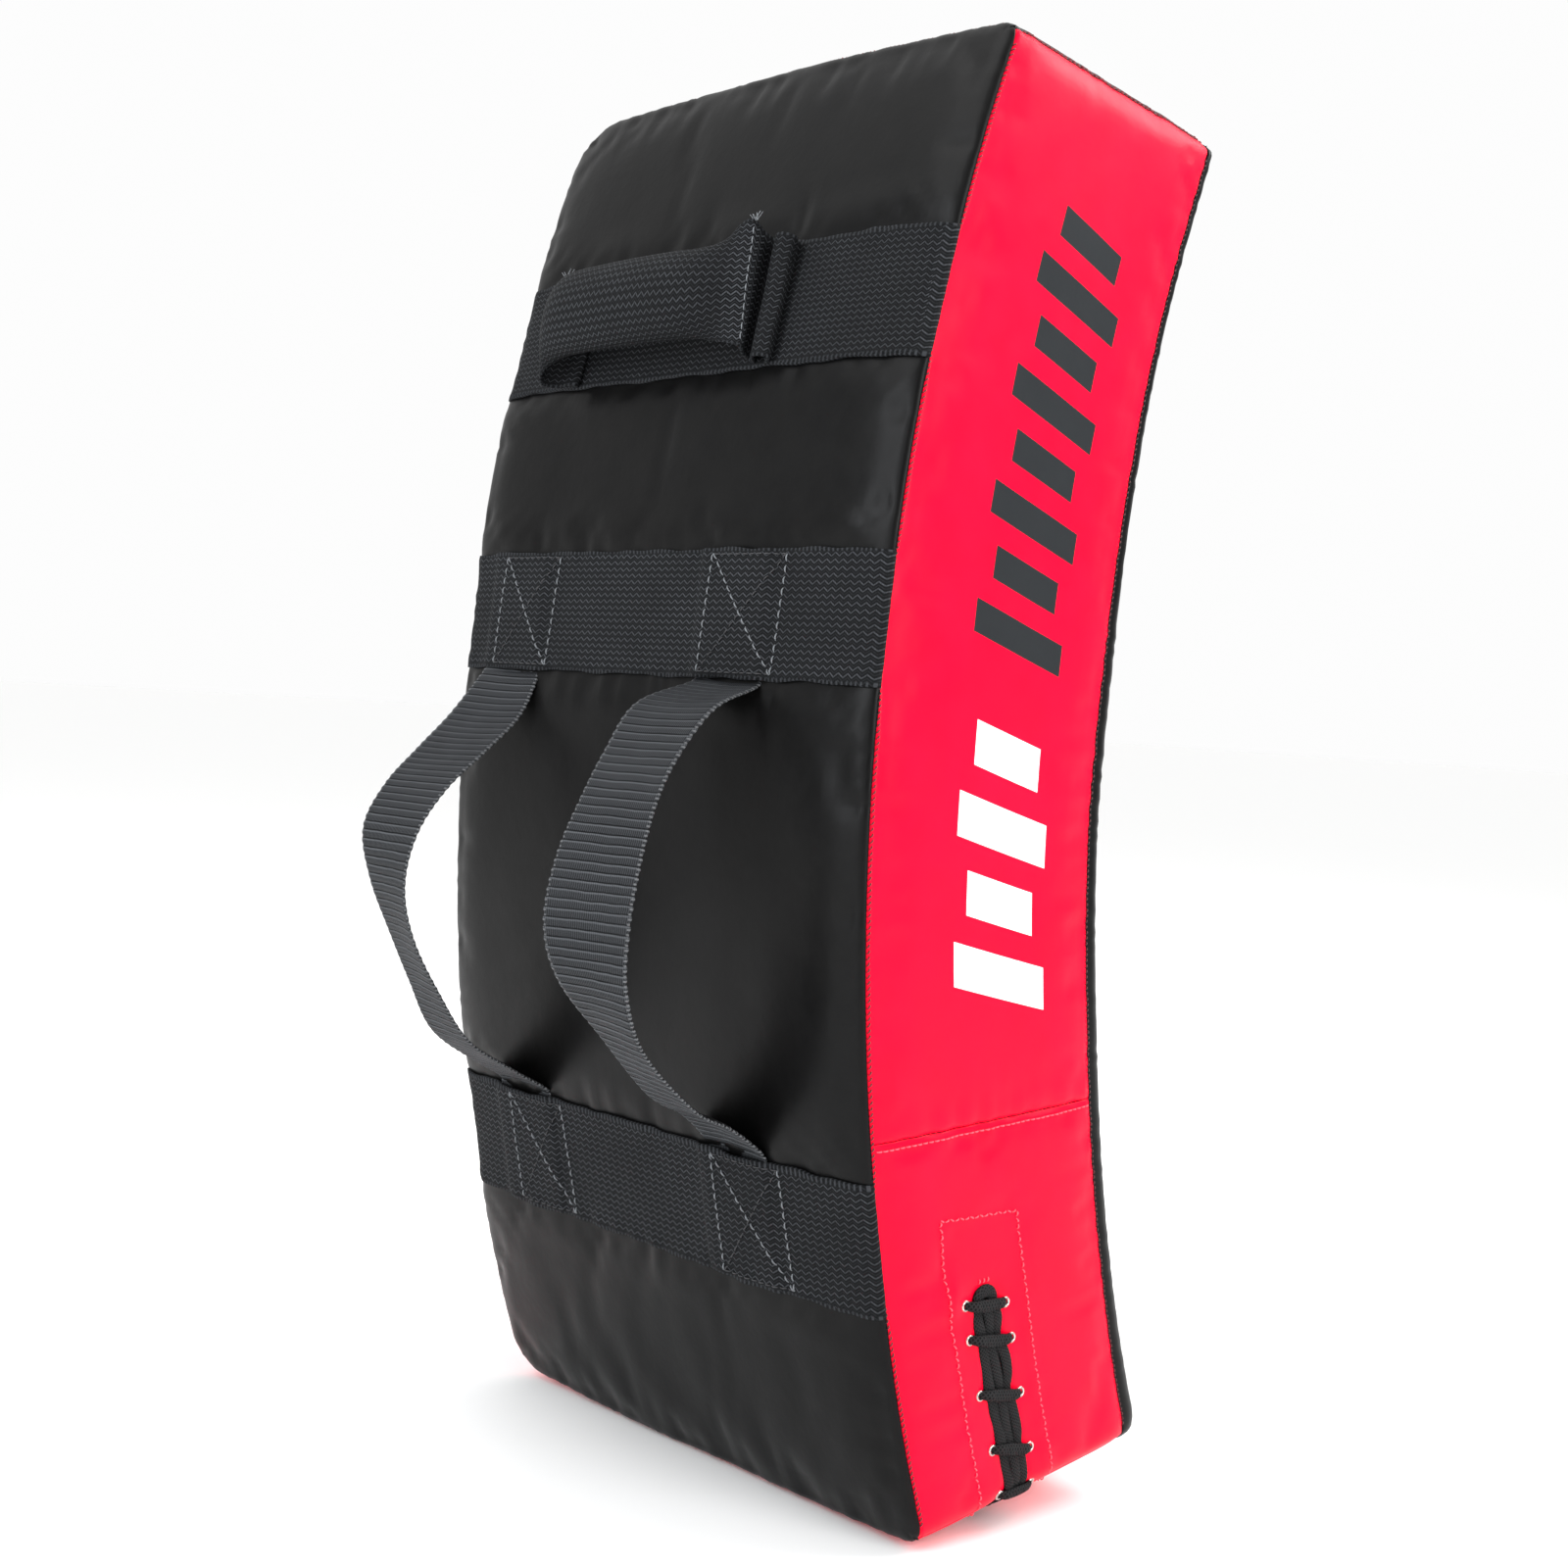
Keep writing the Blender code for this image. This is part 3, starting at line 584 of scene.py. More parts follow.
def herringbone(name, dark, light, along=0.0044, across=0.0034, rough=0.72, depth=0.00035, strength=0.9, ridge=None):
    """Chevron weave: zigzag ridges that run along the strap. UV is in metres: along, across."""
    m = Nodes(name, Specular_IOR_Level=0.15)
    u, v = m.uv()
    wob = m.math("MULTIPLY", m.noise(180.0, 2, 0.5), 0.0006)
    u2 = m.math("ADD", u, wob)
    zig = m.math("PINGPONG", m.math("DIVIDE", u2, along), 0.5)
    rows = m.math("ADD", m.math("DIVIDE", v, across), m.math("MULTIPLY", zig, 1.15))
    falling = m.math("GREATER_THAN", m.math("FRACT", m.math("DIVIDE", u2, along)), 0.5)
    main = m.math("ABSOLUTE", m.math("SUBTRACT", m.math("FRACT", rows), 0.5))
    half = m.math("ABSOLUTE", m.math("SUBTRACT", m.math("FRACT", m.math("ADD", rows, 0.5)), 0.5))
    bright = m.span(main, 0.0, 0.19, 1.0, 0.0)
    faint = m.span(half, 0.0, 0.14, 0.25, 0.0)
    yarn = m.math("MULTIPLY_ADD", m.math("SINE", m.math("MULTIPLY", u2, 2 * math.pi / (along / 4.0))), 0.5, 0.5)
    lines_ = m.math("MAXIMUM", bright, faint)
    turn = m.math("ABSOLUTE", m.math("SUBTRACT", m.math("FRACT", m.math("MULTIPLY", m.math("DIVIDE", u2, along), 2.0)), 0.5))
    stroke = m.math("MULTIPLY", m.span(turn, 0.30, 0.5, 1.0, 0.70), m.math("MULTIPLY_ADD", falling, -0.22, 1.0))
    height = m.math("MULTIPLY", m.math("MULTIPLY", lines_, stroke), m.math("MULTIPLY_ADD", yarn, 0.25, 0.75))
    edge = m.span(m.math("ABSOLUTE", m.math("SUBTRACT", v, 0.0325)), 0.0300, 0.0314, 1.0, 0.25)
    height = m.math("MULTIPLY", height, edge)
    patchy = m.span(m.noise(16.0, 4, 0.65), 0.30, 0.70, 0.55, 1.25)
    # ridge: painted highlight, the weave's tone raised up to 3.6 times along the grip's folded ridge, where the key
    # light catches it
    if ridge:
        ridge_highlight = m.span(m.math("ABSOLUTE", m.math("SUBTRACT", u, ridge[0])), 0.0, ridge[1], 3.6, 1.0)
        patchy = m.math("MULTIPLY", patchy, ridge_highlight)
    # the selvedge's dotted edge, drawn lighter than the webbing: a real edge pattern, its brightness a painted
    # highlight
    rim = m.span(m.math("ABSOLUTE", m.math("SUBTRACT", v, 0.0325)), 0.0306, 0.0314, 0.0, 1.0)
    selvedge_glints = m.math("MULTIPLY", rim, m.span(m.math("SINE", m.math("MULTIPLY", u, 2 * math.pi / 0.0030)), 0.1, 0.6, 0.0, 0.42))
    tone = m.math("MAXIMUM", m.math("MULTIPLY", m.math("POWER", height, 1.2), patchy), selvedge_glints, clamp=True)
    m.link("Base Color", m.mix(tone, dark, light))
    m.link("Roughness", m.span(height, 0.0, 1.0, rough + 0.10, rough - 0.16))
    fuzz = m.noise(1900.0, 2, 0.6)
    m.link("Normal", m.bump(height, strength, depth, m.bump(fuzz, 0.25, 0.0001)))
    return m


def ribbed(name, dark, mid, light, pitch=0.0047, chain=0.00125, bead=0.14, half=0.0255):
    """Ribbed webbing: a cord across every few millimetres, with rows of short warp stitches between. UV in metres."""
    m = Nodes(name, Specular_IOR_Level=0.18)
    u, v = m.uv()
    wob = m.math("MULTIPLY", m.math("SUBTRACT", m.noise(70.0, 2, 0.5), 0.5), 0.0012)
    phase = m.math("FRACT", m.math("DIVIDE", m.math("ADD", u, wob), pitch))
    hollow = m.math("SMOOTH_MIN", m.math("ABSOLUTE", m.math("SUBTRACT", phase, 0.5)), 1.0, 0.0)
    gap = m.span(m.math("ABSOLUTE", m.math("SUBTRACT", phase, 0.93)), 0.0, 0.10, 1.0, 0.0)
    crest = m.span(m.math("ABSOLUTE", m.math("SUBTRACT", phase, 0.10)), 0.0, 0.17, 1.0, 0.0)
    slant = m.math("ADD", v, m.math("MULTIPLY", m.math("ABSOLUTE", m.math("SUBTRACT", phase, 0.5)), 0.0011))
    loops = m.math("MULTIPLY_ADD", m.math("SINE", m.math("MULTIPLY", slant, 2 * math.pi / chain)), 0.5, 0.5)
    body = m.math("MULTIPLY", loops, m.math("SUBTRACT", 1.0, m.math("MAXIMUM", gap, m.math("MULTIPLY", crest, 0.75))))
    shade = m.mix(m.math("MULTIPLY", body, 0.9), dark, mid)
    shade = m.mix(m.math("MULTIPLY", crest, m.math("MULTIPLY_ADD", loops, 0.35, 0.65)), shade, light)
    shade = m.mix(m.math("MULTIPLY", gap, 0.8), shade, (dark[0] * 0.4, dark[1] * 0.4, dark[2] * 0.4))
    # the selvedge's dotted edge in the bead tone, brighter than any of the webbing: a real edge pattern, its brightness
    # a painted highlight, strongest on the darker inner copy
    rim = m.span(m.math("ABSOLUTE", m.math("SUBTRACT", v, 0.1)), half - 0.0018, half - 0.0010, 0.0, 1.0)
    selvedge_glints = m.math("MULTIPLY", rim, m.span(m.math("SINE", m.math("MULTIPLY", u, 2 * math.pi / 0.0024)), 0.1, 0.6, 0.0, 1.0))
    shade = m.mix(selvedge_glints, shade, (bead, bead * 1.03, bead * 1.07))
    tone = m.span(m.noise(14.0, 3, 0.6), 0.3, 0.7, 0.0, 0.28)
    m.link("Base Color", m.mix(tone, shade, (mid[0] * 0.55, mid[1] * 0.55, mid[2] * 0.55)))
    m.link("Roughness", m.span(body, 0.0, 1.0, 0.78, 0.52))
    height = m.math("ADD", m.math("MULTIPLY", crest, 0.6), m.math("SUBTRACT", m.math("MULTIPLY", body, 0.55), m.math("MULTIPLY", gap, 0.5)))
    m.link("Normal", m.bump(height, 0.8, 0.00035, m.bump(m.noise(2200.0, 2, 0.6), 0.2, 0.0001)))
    return m


def braid(name, dark, light, pitch=0.0020):
    m = Nodes(name, Specular_IOR_Level=0.12)
    u, v = m.uv()
    a = m.math("SINE", m.math("MULTIPLY", m.math("ADD", u, v), 2 * math.pi / pitch))
    b = m.math("SINE", m.math("MULTIPLY", m.math("SUBTRACT", u, v), 2 * math.pi / pitch))
    h = m.math("MULTIPLY_ADD", m.math("MAXIMUM", a, b), 0.5, 0.5)
    m.link("Base Color", m.mix(m.math("POWER", h, 2.0), dark, light))
    m.link("Roughness", m.span(h, 0, 1, 0.9, 0.68))
    m.link("Normal", m.bump(h, 0.8, 0.0003, m.bump(m.noise(2600.0, 2, 0.6), 0.3, 0.0001)))
    return m


def thread(name, colour, rough=0.6):
    m = Nodes(name, colour=colour, roughness=rough)
    n = m.noise(900.0, 3, 0.6)
    m.link("Base Color", m.mix(m.span(n, 0.3, 0.7), tuple(c * 0.75 for c in colour), tuple(min(1, c * 1.2) for c in colour)))
    m.link("Normal", m.bump(n, 0.4, 0.0001))
    return m


BLACK_PU = leatherette("black_leatherette", (0.0022, 0.0022, 0.0024), (0.0048, 0.0046, 0.0045), 0.34, Specular_IOR_Level=0.11)
RED_PU = leatherette("red_leatherette", (0.86, 0.0006, 0.022), (0.95, 0.0010, 0.030), 0.34, grain=0.8, Specular_IOR_Level=0.07)
BAND_WEB = herringbone("band_webbing", (0.0022, 0.0026, 0.0032), (0.074, 0.079, 0.088), along=0.0056, across=0.0034)
# the ridge setting paints a highlight along the grip strap's folded ridge
GRIP_WEB = herringbone("grip_webbing", (0.0016, 0.0018, 0.0024), (0.060, 0.065, 0.072), along=0.0048, across=0.0032, ridge=(0.1577, 0.0150))
LOOP_WEB = ribbed("loop_webbing", (0.0040, 0.0043, 0.0050), (0.039, 0.042, 0.047), (0.102, 0.109, 0.118))
# LOOP_INNER_SHADE: the same ribbed webbing several times darker, painted shade for the inner face of the arm loops
LOOP_INNER_SHADE = ribbed("loop_webbing_inner_painted_shade", (0.0012, 0.0012, 0.0014), (0.0070, 0.0074, 0.0080), (0.0200, 0.0210, 0.0230), bead=0.16)
LACE_CORD = braid("lace_cord", (0.0014, 0.0014, 0.0015), (0.019, 0.019, 0.020))
DARK_THREAD = thread("dark_thread", (0.030, 0.030, 0.033))
SEAM_THREAD = thread("seam_thread", (0.060, 0.010, 0.014))
GREY_THREAD = thread("grey_thread", (0.170, 0.182, 0.195))
RED_THREAD = thread("red_thread", (0.90, 0.085, 0.130))
DARK_RED_THREAD = thread("dark_red_thread", (0.16, 0.004, 0.010))
NICKEL = Nodes("eyelet_nickel", colour=(0.72, 0.70, 0.66), roughness=0.22, metallic=1.0)
_n = NICKEL.noise(400.0, 4, 0.7)
NICKEL.link("Roughness", NICKEL.span(_n, 0.3, 0.7, 0.16, 0.38))
NICKEL.link("Base Color", NICKEL.mix(NICKEL.span(_n, 0.35, 0.75), (0.60, 0.58, 0.55), (0.30, 0.27, 0.23)))
LINING = thread("lining_cloth", (0.020, 0.020, 0.022), 0.85)
FOAM = Nodes("foam", colour=(0.45, 0.45, 0.46), roughness=0.95)
FOAM.link("Base Color", FOAM.mix(FOAM.span(FOAM.voronoi(900.0), 0.1, 0.6), (0.30, 0.30, 0.31), (0.55, 0.55, 0.56)))
FOAM.link("Normal", FOAM.bump(FOAM.voronoi(900.0), 0.6, 0.0005))


# a printed marking of plain slanted dashes, drawn on the laced side in place of words
def marked(base_name):
    m = RED_PU
    u, v = m.uv()  # u along the shield, v through its depth
    colour = m.shader.inputs["Base Color"].links[0].from_socket
    ink_all = None
    for first, last, pitch, share, ink in ((0.072, 0.312, 0.0300, 0.56, (0.020, 0.022, 0.024)), (-0.106, 0.046, 0.0380, 0.60, (0.90, 0.89, 0.89))):
        shift = m.math("MULTIPLY", m.math("SUBTRACT", v, 0.0875), 0.28)
        w = m.math("SUBTRACT", m.math("ADD", u, shift), first)
        cell = m.math("FRACT", m.math("DIVIDE", w, pitch))
        bar = m.math("LESS_THAN", cell, share)
        low = m.math("GREATER_THAN", w, 0.0)
        high = m.math("LESS_THAN", w, last - first)
        # every second dash is shorter
        odd = m.math("MODULO", m.math("FLOOR", m.math("DIVIDE", w, pitch)), 2.0)
        reach = m.math("MULTIPLY_ADD", odd, -0.0085, 0.0320)
        deep = m.math("LESS_THAN", m.math("ABSOLUTE", m.math("SUBTRACT", v, 0.0875)), reach)
        mask = m.math("MULTIPLY", m.math("MULTIPLY", bar, deep), m.math("MULTIPLY", low, high))
        colour = m.mix(mask, colour, ink)
    m.link("Base Color", colour)


# ------------------------------------------------------------------ the covers settle on their filling
def settle(face, step, pressure, grow, most, frames=16):
    """Cloth run on a coarse copy of one cover, held at its seams and under the bands, blown out by the filling."""
    fixed, value, u, v, sign = FACES[face]
    def stations(i):
        lo, hi = (0.0, THICK) if i == 1 else (-HALF3[i], HALF3[i])
        return np.linspace(lo, hi, int(round((hi - lo) / step)) + 1)
    gu, gv = stations(u), stations(v)
    U, V = np.meshgrid(gu, gv, indexing="ij")
    q = np.zeros((U.size, 3))
    q[:, u], q[:, v], q[:, fixed] = U.reshape(-1), V.reshape(-1), value
    p, n = skin(face, q)
    faces = grid_faces(len(gu), len(gv))
    obj = new_object("settle_" + face, p, faces, smooth=False)
    PIECES.remove(obj)
    du, dv = edge_distance(face, q)
    held = np.exp(-np.minimum(du, dv) / 0.004)
    if face == "back":
        held = np.maximum(held, band_weight(q[:, 2], 0.002))
    if face == "laced":
        held = np.maximum(held, bump(q[:, 2] - SEAM_ARC, 0.004))
        held = np.maximum(held, 1.0 * ((q[:, 2] < -0.222) & (np.abs(q[:, 1] - LACE_MID) < 0.024)))
    group = obj.vertex_groups.new(name="held")
    for i, w in enumerate(held):
        group.add([i], float(min(1.0, w if w > 0.05 else 0.0)), "REPLACE")
    obj.data.update()
    want = Vector({"back": (0, -1, 0), "strike": (0, 1, 0), "laced": (1, 0, 0), "plain": (-1, 0, 0)}[face])
    if obj.data.polygons[len(obj.data.polygons) // 2].normal.dot(want) < 0:
        obj.data.flip_normals()
    cloth = obj.modifiers.new("cloth", "CLOTH")
    c = cloth.settings
    c.quality = 6
    c.mass = 0.25
    c.tension_stiffness = c.compression_stiffness = 18
    c.shear_stiffness = 6
    c.bending_stiffness = 0.35
    c.vertex_group_mass = "held"
    c.pin_stiffness = 1.0
    c.use_pressure = True
    c.uniform_pressure_force = pressure
    c.shrink_min = -grow
    c.effector_weights.gravity = 0
    cloth.collision_settings.use_collision = False
    cloth.point_cache.frame_start, cloth.point_cache.frame_end = 1, frames
    for k in range(1, frames + 1):
        scene.frame_set(k)
    graph = bpy.context.evaluated_depsgraph_get()
    moved = obj.evaluated_get(graph).to_mesh()
    now = np.empty(len(moved.vertices) * 3)
    moved.vertices.foreach_get("co", now)
    shift = ((now.reshape(-1, 3) - p) * n).sum(1)
    obj.evaluated_get(graph).to_mesh_clear()
    scene.frame_set(1)
    mesh = obj.data
    bpy.data.objects.remove(obj)
    bpy.data.meshes.remove(mesh)
    shift = np.nan_to_num(shift)
    free = (1 - np.exp(-np.minimum(du, dv) / 0.006))
    shift = most * np.tanh(shift / most) * free
    print("settled", face, round(float(shift.min()) * 1000, 2), round(float(shift.max()) * 1000, 2), "mm")
    SETTLED[face] = (gu, gv, shift.reshape(len(gu), len(gv)))


settle("back", 0.0085, 2.2, 0.012, 0.0016)
settle("strike", 0.0095, 2.0, 0.010, 0.0018)
settle("laced", 0.0080, 2.2, 0.010, 0.0012)
settle("plain", 0.0085, 2.2, 0.010, 0.0014)

# ------------------------------------------------------------------ cover panels
def spread(lo, hi, step, extra=(), tight=0.0012):
    """Stations from lo to hi, closer together near both ends and at the extra places."""
    marks = sorted({lo, hi, *[e for e in extra if lo < e < hi]})
    out = []
    for a, b in zip(marks, marks[1:]):
        n = max(1, int(math.ceil((b - a) / step)))
        out += [a + (b - a) * i / n for i in range(n)]
    out.append(hi)
    for end, sign in ((lo, 1), (hi, -1)):
        for k in (1, 2.2, 3.8, 6, 9):
            out.append(end + sign * tight * k * 0.55)
    out = sorted(set(round(x, 6) for x in out if lo <= x <= hi))
    keep = [out[0]]
    for x in out[1:]:
        if x - keep[-1] > 0.00035:
            keep.append(x)
    keep[-1] = hi
    return np.array(keep)


def panel(name, face, us, vs, mat, nodes, hole=None):
    fixed, value, u, v, sign = FACES[face]
    U, V = np.meshgrid(us, vs, indexing="ij")
    q = np.zeros((U.size, 3))
    q[:, u], q[:, v], q[:, fixed] = U.reshape(-1), V.reshape(-1), value
    p, n = skin(face, q)
    mask = None
    if hole is not None:
        cu, cv = (us[1:] + us[:-1]) / 2, (vs[1:] + vs[:-1]) / 2
        CU, CV = np.meshgrid(cu, cv, indexing="ij")
        mask = ~hole(CU, CV)
    faces = grid_faces(len(us), len(vs), mask)
    uv = np.stack([q[:, v], q[:, u]], 1)
    obj = new_object(name, p, faces, uv)
    bm = bmesh.new()
    bm.from_mesh(obj.data)
    bmesh.ops.delete(bm, geom=[w for w in bm.verts if not w.link_faces], context="VERTS")
    bm.normal_update()
    bm.faces.ensure_lookup_table()
    mid = bm.faces[len(bm.faces) // 2]
    out = Vector({"back": (0, -1, 0), "strike": (0, 1, 0), "laced": (1, 0, 0), "plain": (-1, 0, 0), "top": (0, 0, 1), "bottom": (0, 0, -1)}[face])
    if mid.normal.dot(out) < 0:
        bmesh.ops.reverse_faces(bm, faces=bm.faces)
    bm.to_mesh(obj.data)
    bm.free()
    mod = obj.modifiers.new("thickness", "SOLIDIFY")
    mod.thickness, mod.offset = 0.0014, -1
    paint(obj, mat)
    apply_modifiers(obj)
    obj.data.shade_smooth()
    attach(obj, "shield")
    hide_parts(*nodes)
    return obj


STEP = 0.0042
xs = spread(-HX, HX, STEP)
arcs = spread(-ARC, ARC, STEP, extra=[arc_of(z) for b in BANDS.values() for z in b])
deps = spread(0, THICK, 0.0036, extra=(LACE_MID - SLIT_HALF, LACE_MID + SLIT_HALF, LACE_MID - LACE_HALF, LACE_MID + LACE_HALF))
slit_top = -ARC + 0.1200
laced_low = spread(-ARC, SEAM_ARC - 0.0002, 0.0030, extra=(slit_top,))
laced_high = spread(SEAM_ARC + 0.0002, ARC, STEP)
end_xs = spread(-HX, HX, STEP, extra=(0.0560,))

marked("red_leatherette")
PLAIN_RED = leatherette("red_leatherette_plain", (0.86, 0.0006, 0.022), (0.95, 0.0010, 0.030), 0.34, grain=0.8, Specular_IOR_Level=0.07)


def slit_side(d, a):
    return (np.abs(d - LACE_MID) < SLIT_HALF) & (a < slit_top)


def slit_end(x, d):
    return (np.abs(d - LACE_MID) < SLIT_HALF) & (x > 0.0560)


panel("back_cover", "back", xs, arcs, BLACK_PU.mat, ["back_cover_panel"])
panel("strike_cover", "strike", xs, arcs, BLACK_PU.mat, ["strike_cover_panel"])
panel("laced_side_upper", "laced", deps, laced_high, RED_PU.mat, ["laced_side_upper_panel"])
panel("laced_side_lower", "laced", deps, laced_low, PLAIN_RED.mat, ["laced_side_lower_panel"], hole=slit_side)
panel("plain_side", "plain", deps, arcs, PLAIN_RED.mat, ["plain_side_panel"])
panel("top_end", "top", xs, deps, BLACK_PU.mat, ["top_end_panel"])
panel("bottom_end", "bottom", end_xs, deps, PLAIN_RED.mat, ["bottom_end_panel"], hole=slit_end)

# ------------------------------------------------------------------ what the covers hold
def rounded_block(name, d0, d1, inset, mat, node):
    """One layer of the filling, with the cover's soft corners."""
    hx, ha = HX - inset, ARC - inset
    X = np.linspace(-hx, hx, 29)
    A = np.linspace(-ha, ha, 49)
    D = np.linspace(d0, d1, 7)
    verts, faces = [], []
    for axis, value, g1, g2, flip in ((1, d0, X, A, False), (1, d1, X, A, True), (0, hx, D, A, False), (0, -hx, D, A, True), (2, ha, X, D, False), (2, -ha, X, D, True)):
        U, V = np.meshgrid(g1, g2, indexing="ij")
        q = np.zeros((U.size, 3))
        others = [i for i in (0, 1, 2) if i != axis]
        q[:, axis], q[:, others[0]], q[:, others[1]] = value, U.reshape(-1), V.reshape(-1)
        base = len(verts)
        p = q.copy()
        p[:, 1] -= THICK / 2
        for (sx, sa), r in CORNERS.items():
            here = (np.sign(p[:, 0]) == sx) & (np.sign(p[:, 2]) == sa)
            if here.any():
                flat = p_norm_round(p[here][:, [0, 2]], np.array([hx, ha]), r)
                p[here, 0], p[here, 2] = flat[:, 0], flat[:, 1]
        p[:, 1] += THICK / 2
        verts += list(at(p))
        f = grid_faces(len(g1), len(g2)) + base
        faces += [tuple(r[::-1] if flip else r) for r in f]
    obj = new_object(name, verts, faces)
    bm = bmesh.new()
    bm.from_mesh(obj.data)
    bmesh.ops.remove_doubles(bm, verts=bm.verts, dist=0.00005)
    bmesh.ops.recalc_face_normals(bm, faces=bm.faces)
    bm.to_mesh(obj.data)
    bm.free()
    paint(obj, mat)
    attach(obj, "shield")
    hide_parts(node)


rounded_block("foam_back_fill", 0.0065, 0.0520, 0.0065, FOAM.mat, "foam_back_layer")
rounded_block("foam_core_fill", 0.0525, 0.1060, 0.0065, FOAM.mat, "foam_core_layer")
rounded_block("foam_strike_fill", 0.1065, 0.1520, 0.0065, FOAM.mat, "foam_strike_layer")


# ------------------------------------------------------------------ webbing bands across the back
TAILS = {
    "middle_band": (("near_upper", 0.0710), ("far_upper", -0.1195)),
    "lower_band": (("near_lower", 0.0810), ("far_lower", -0.1060)),
    "top_band": (),
}
LOOP_HALF = 0.0255


def step_up(x, tails):
    lift = np.zeros(len(x))
    for _, c in tails:
        lift = np.maximum(lift, 0.0020 / (1 + np.exp(-(LOOP_HALF + 0.0012 - np.abs(x - c)) / 0.0009)))
    return lift


def band_lift(x, tails):
    edge = 1 - np.exp(-(HX - np.abs(x)) / 0.0035)
    return 0.0004 + 0.0016 * edge + step_up(x, tails)


def on_band(x, z, tails, extra=0.0):
    """Points and normals on a band's outer face."""
    x, z = np.asarray(x, float), np.asarray(z, float)
    q = np.stack([x, 0 * x, R_BACK * np.arcsin(z / R_BACK)], 1)
    p, n = skin("back", q)
    return p + n * (band_lift(x, tails) + extra)[:, None], n


def sheet_from_grid(name, P, uv, mat, body, thickness, nodes):
    n, m = P.shape[:2]
    obj = new_object(name, P.reshape(-1, 3), grid_faces(n, m), uv)
    mod = obj.modifiers.new("thickness", "SOLIDIFY")
    mod.thickness, mod.offset = thickness, -1
    mod.use_even_offset = False
    paint(obj, mat)
    apply_modifiers(obj)
    obj.data.shade_smooth()
    if body:
        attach(obj, body)
    if nodes:
        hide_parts(*nodes)
    return obj


def make_band(name, z0, z1):
    tails = TAILS[name]
    X = spread(-HX + 0.0004, HX - 0.0004, 0.0030, extra=[c + s * (LOOP_HALF + o) for _, c in tails for s in (-1, 1) for o in (-0.001, 0.0012, 0.003)])
    V = np.linspace(-1, 1, 29)
    U, W = np.meshgrid(X, V, indexing="ij")
    x, w = U.reshape(-1), W.reshape(-1)
    wave = 0.00045 * np.sin(x * 95 + z0 * 40) + 0.0003 * np.sin(x * 210)
    z = (z0 + z1) / 2 + (z1 - z0) / 2 * w + wave * np.abs(w) ** 3
    p, n = on_band(x, z, tails)
    lip = np.clip((np.abs(w) - 0.93) / 0.07, 0, 1)
    curl = 0.0004 * np.sin(x * 130 + 3 * w) * lip - 0.00025 * lip
    dips = 0.00035 * noise_at(np.stack([x, w * 0.03, 0 * x + z0], 1), 60.0, 2.2)
    p = p + n * (curl + dips)[:, None]
    uv = np.stack([x + 0.2, (z - z0)], 1)
    obj = sheet_from_grid(name + "_strap", p.reshape(len(X), len(V), 3)[::-1], uv.reshape(len(X), len(V), 2)[::-1].reshape(-1, 2), BAND_WEB.mat, "shield", 0.0016, [name])
    return obj


STRAPS = {band_name: make_band(band_name, z0, z1) for band_name, (z0, z1) in BANDS.items()}


def laid_on(obj, p, n):
    """The same points moved along their normals to the outer face of a piece."""
    mesh = obj.data
    tree = BVHTree.FromPolygons([v.co for v in mesh.vertices], [tuple(f.vertices) for f in mesh.polygons])
    out = p.copy()
    for i in range(len(p)):
        hit = tree.ray_cast(Vector(p[i] + n[i] * 0.012), Vector(-n[i]), 0.030)
        if hit[0] is not None:
            out[i] = hit[0]
    return out, n


# ------------------------------------------------------------------ arm loops
def ribs(length, pitch=0.0047):
    ph = (length / pitch) % 1.0
    crest = np.exp(-(((ph - 0.5) / 0.20) ** 2))
    groove = np.exp(-(((ph - 0.93) / 0.07) ** 2)) + np.exp(-(((ph + 0.07) / 0.07) ** 2))
    return 0.00030 * crest - 0.00034 * groove


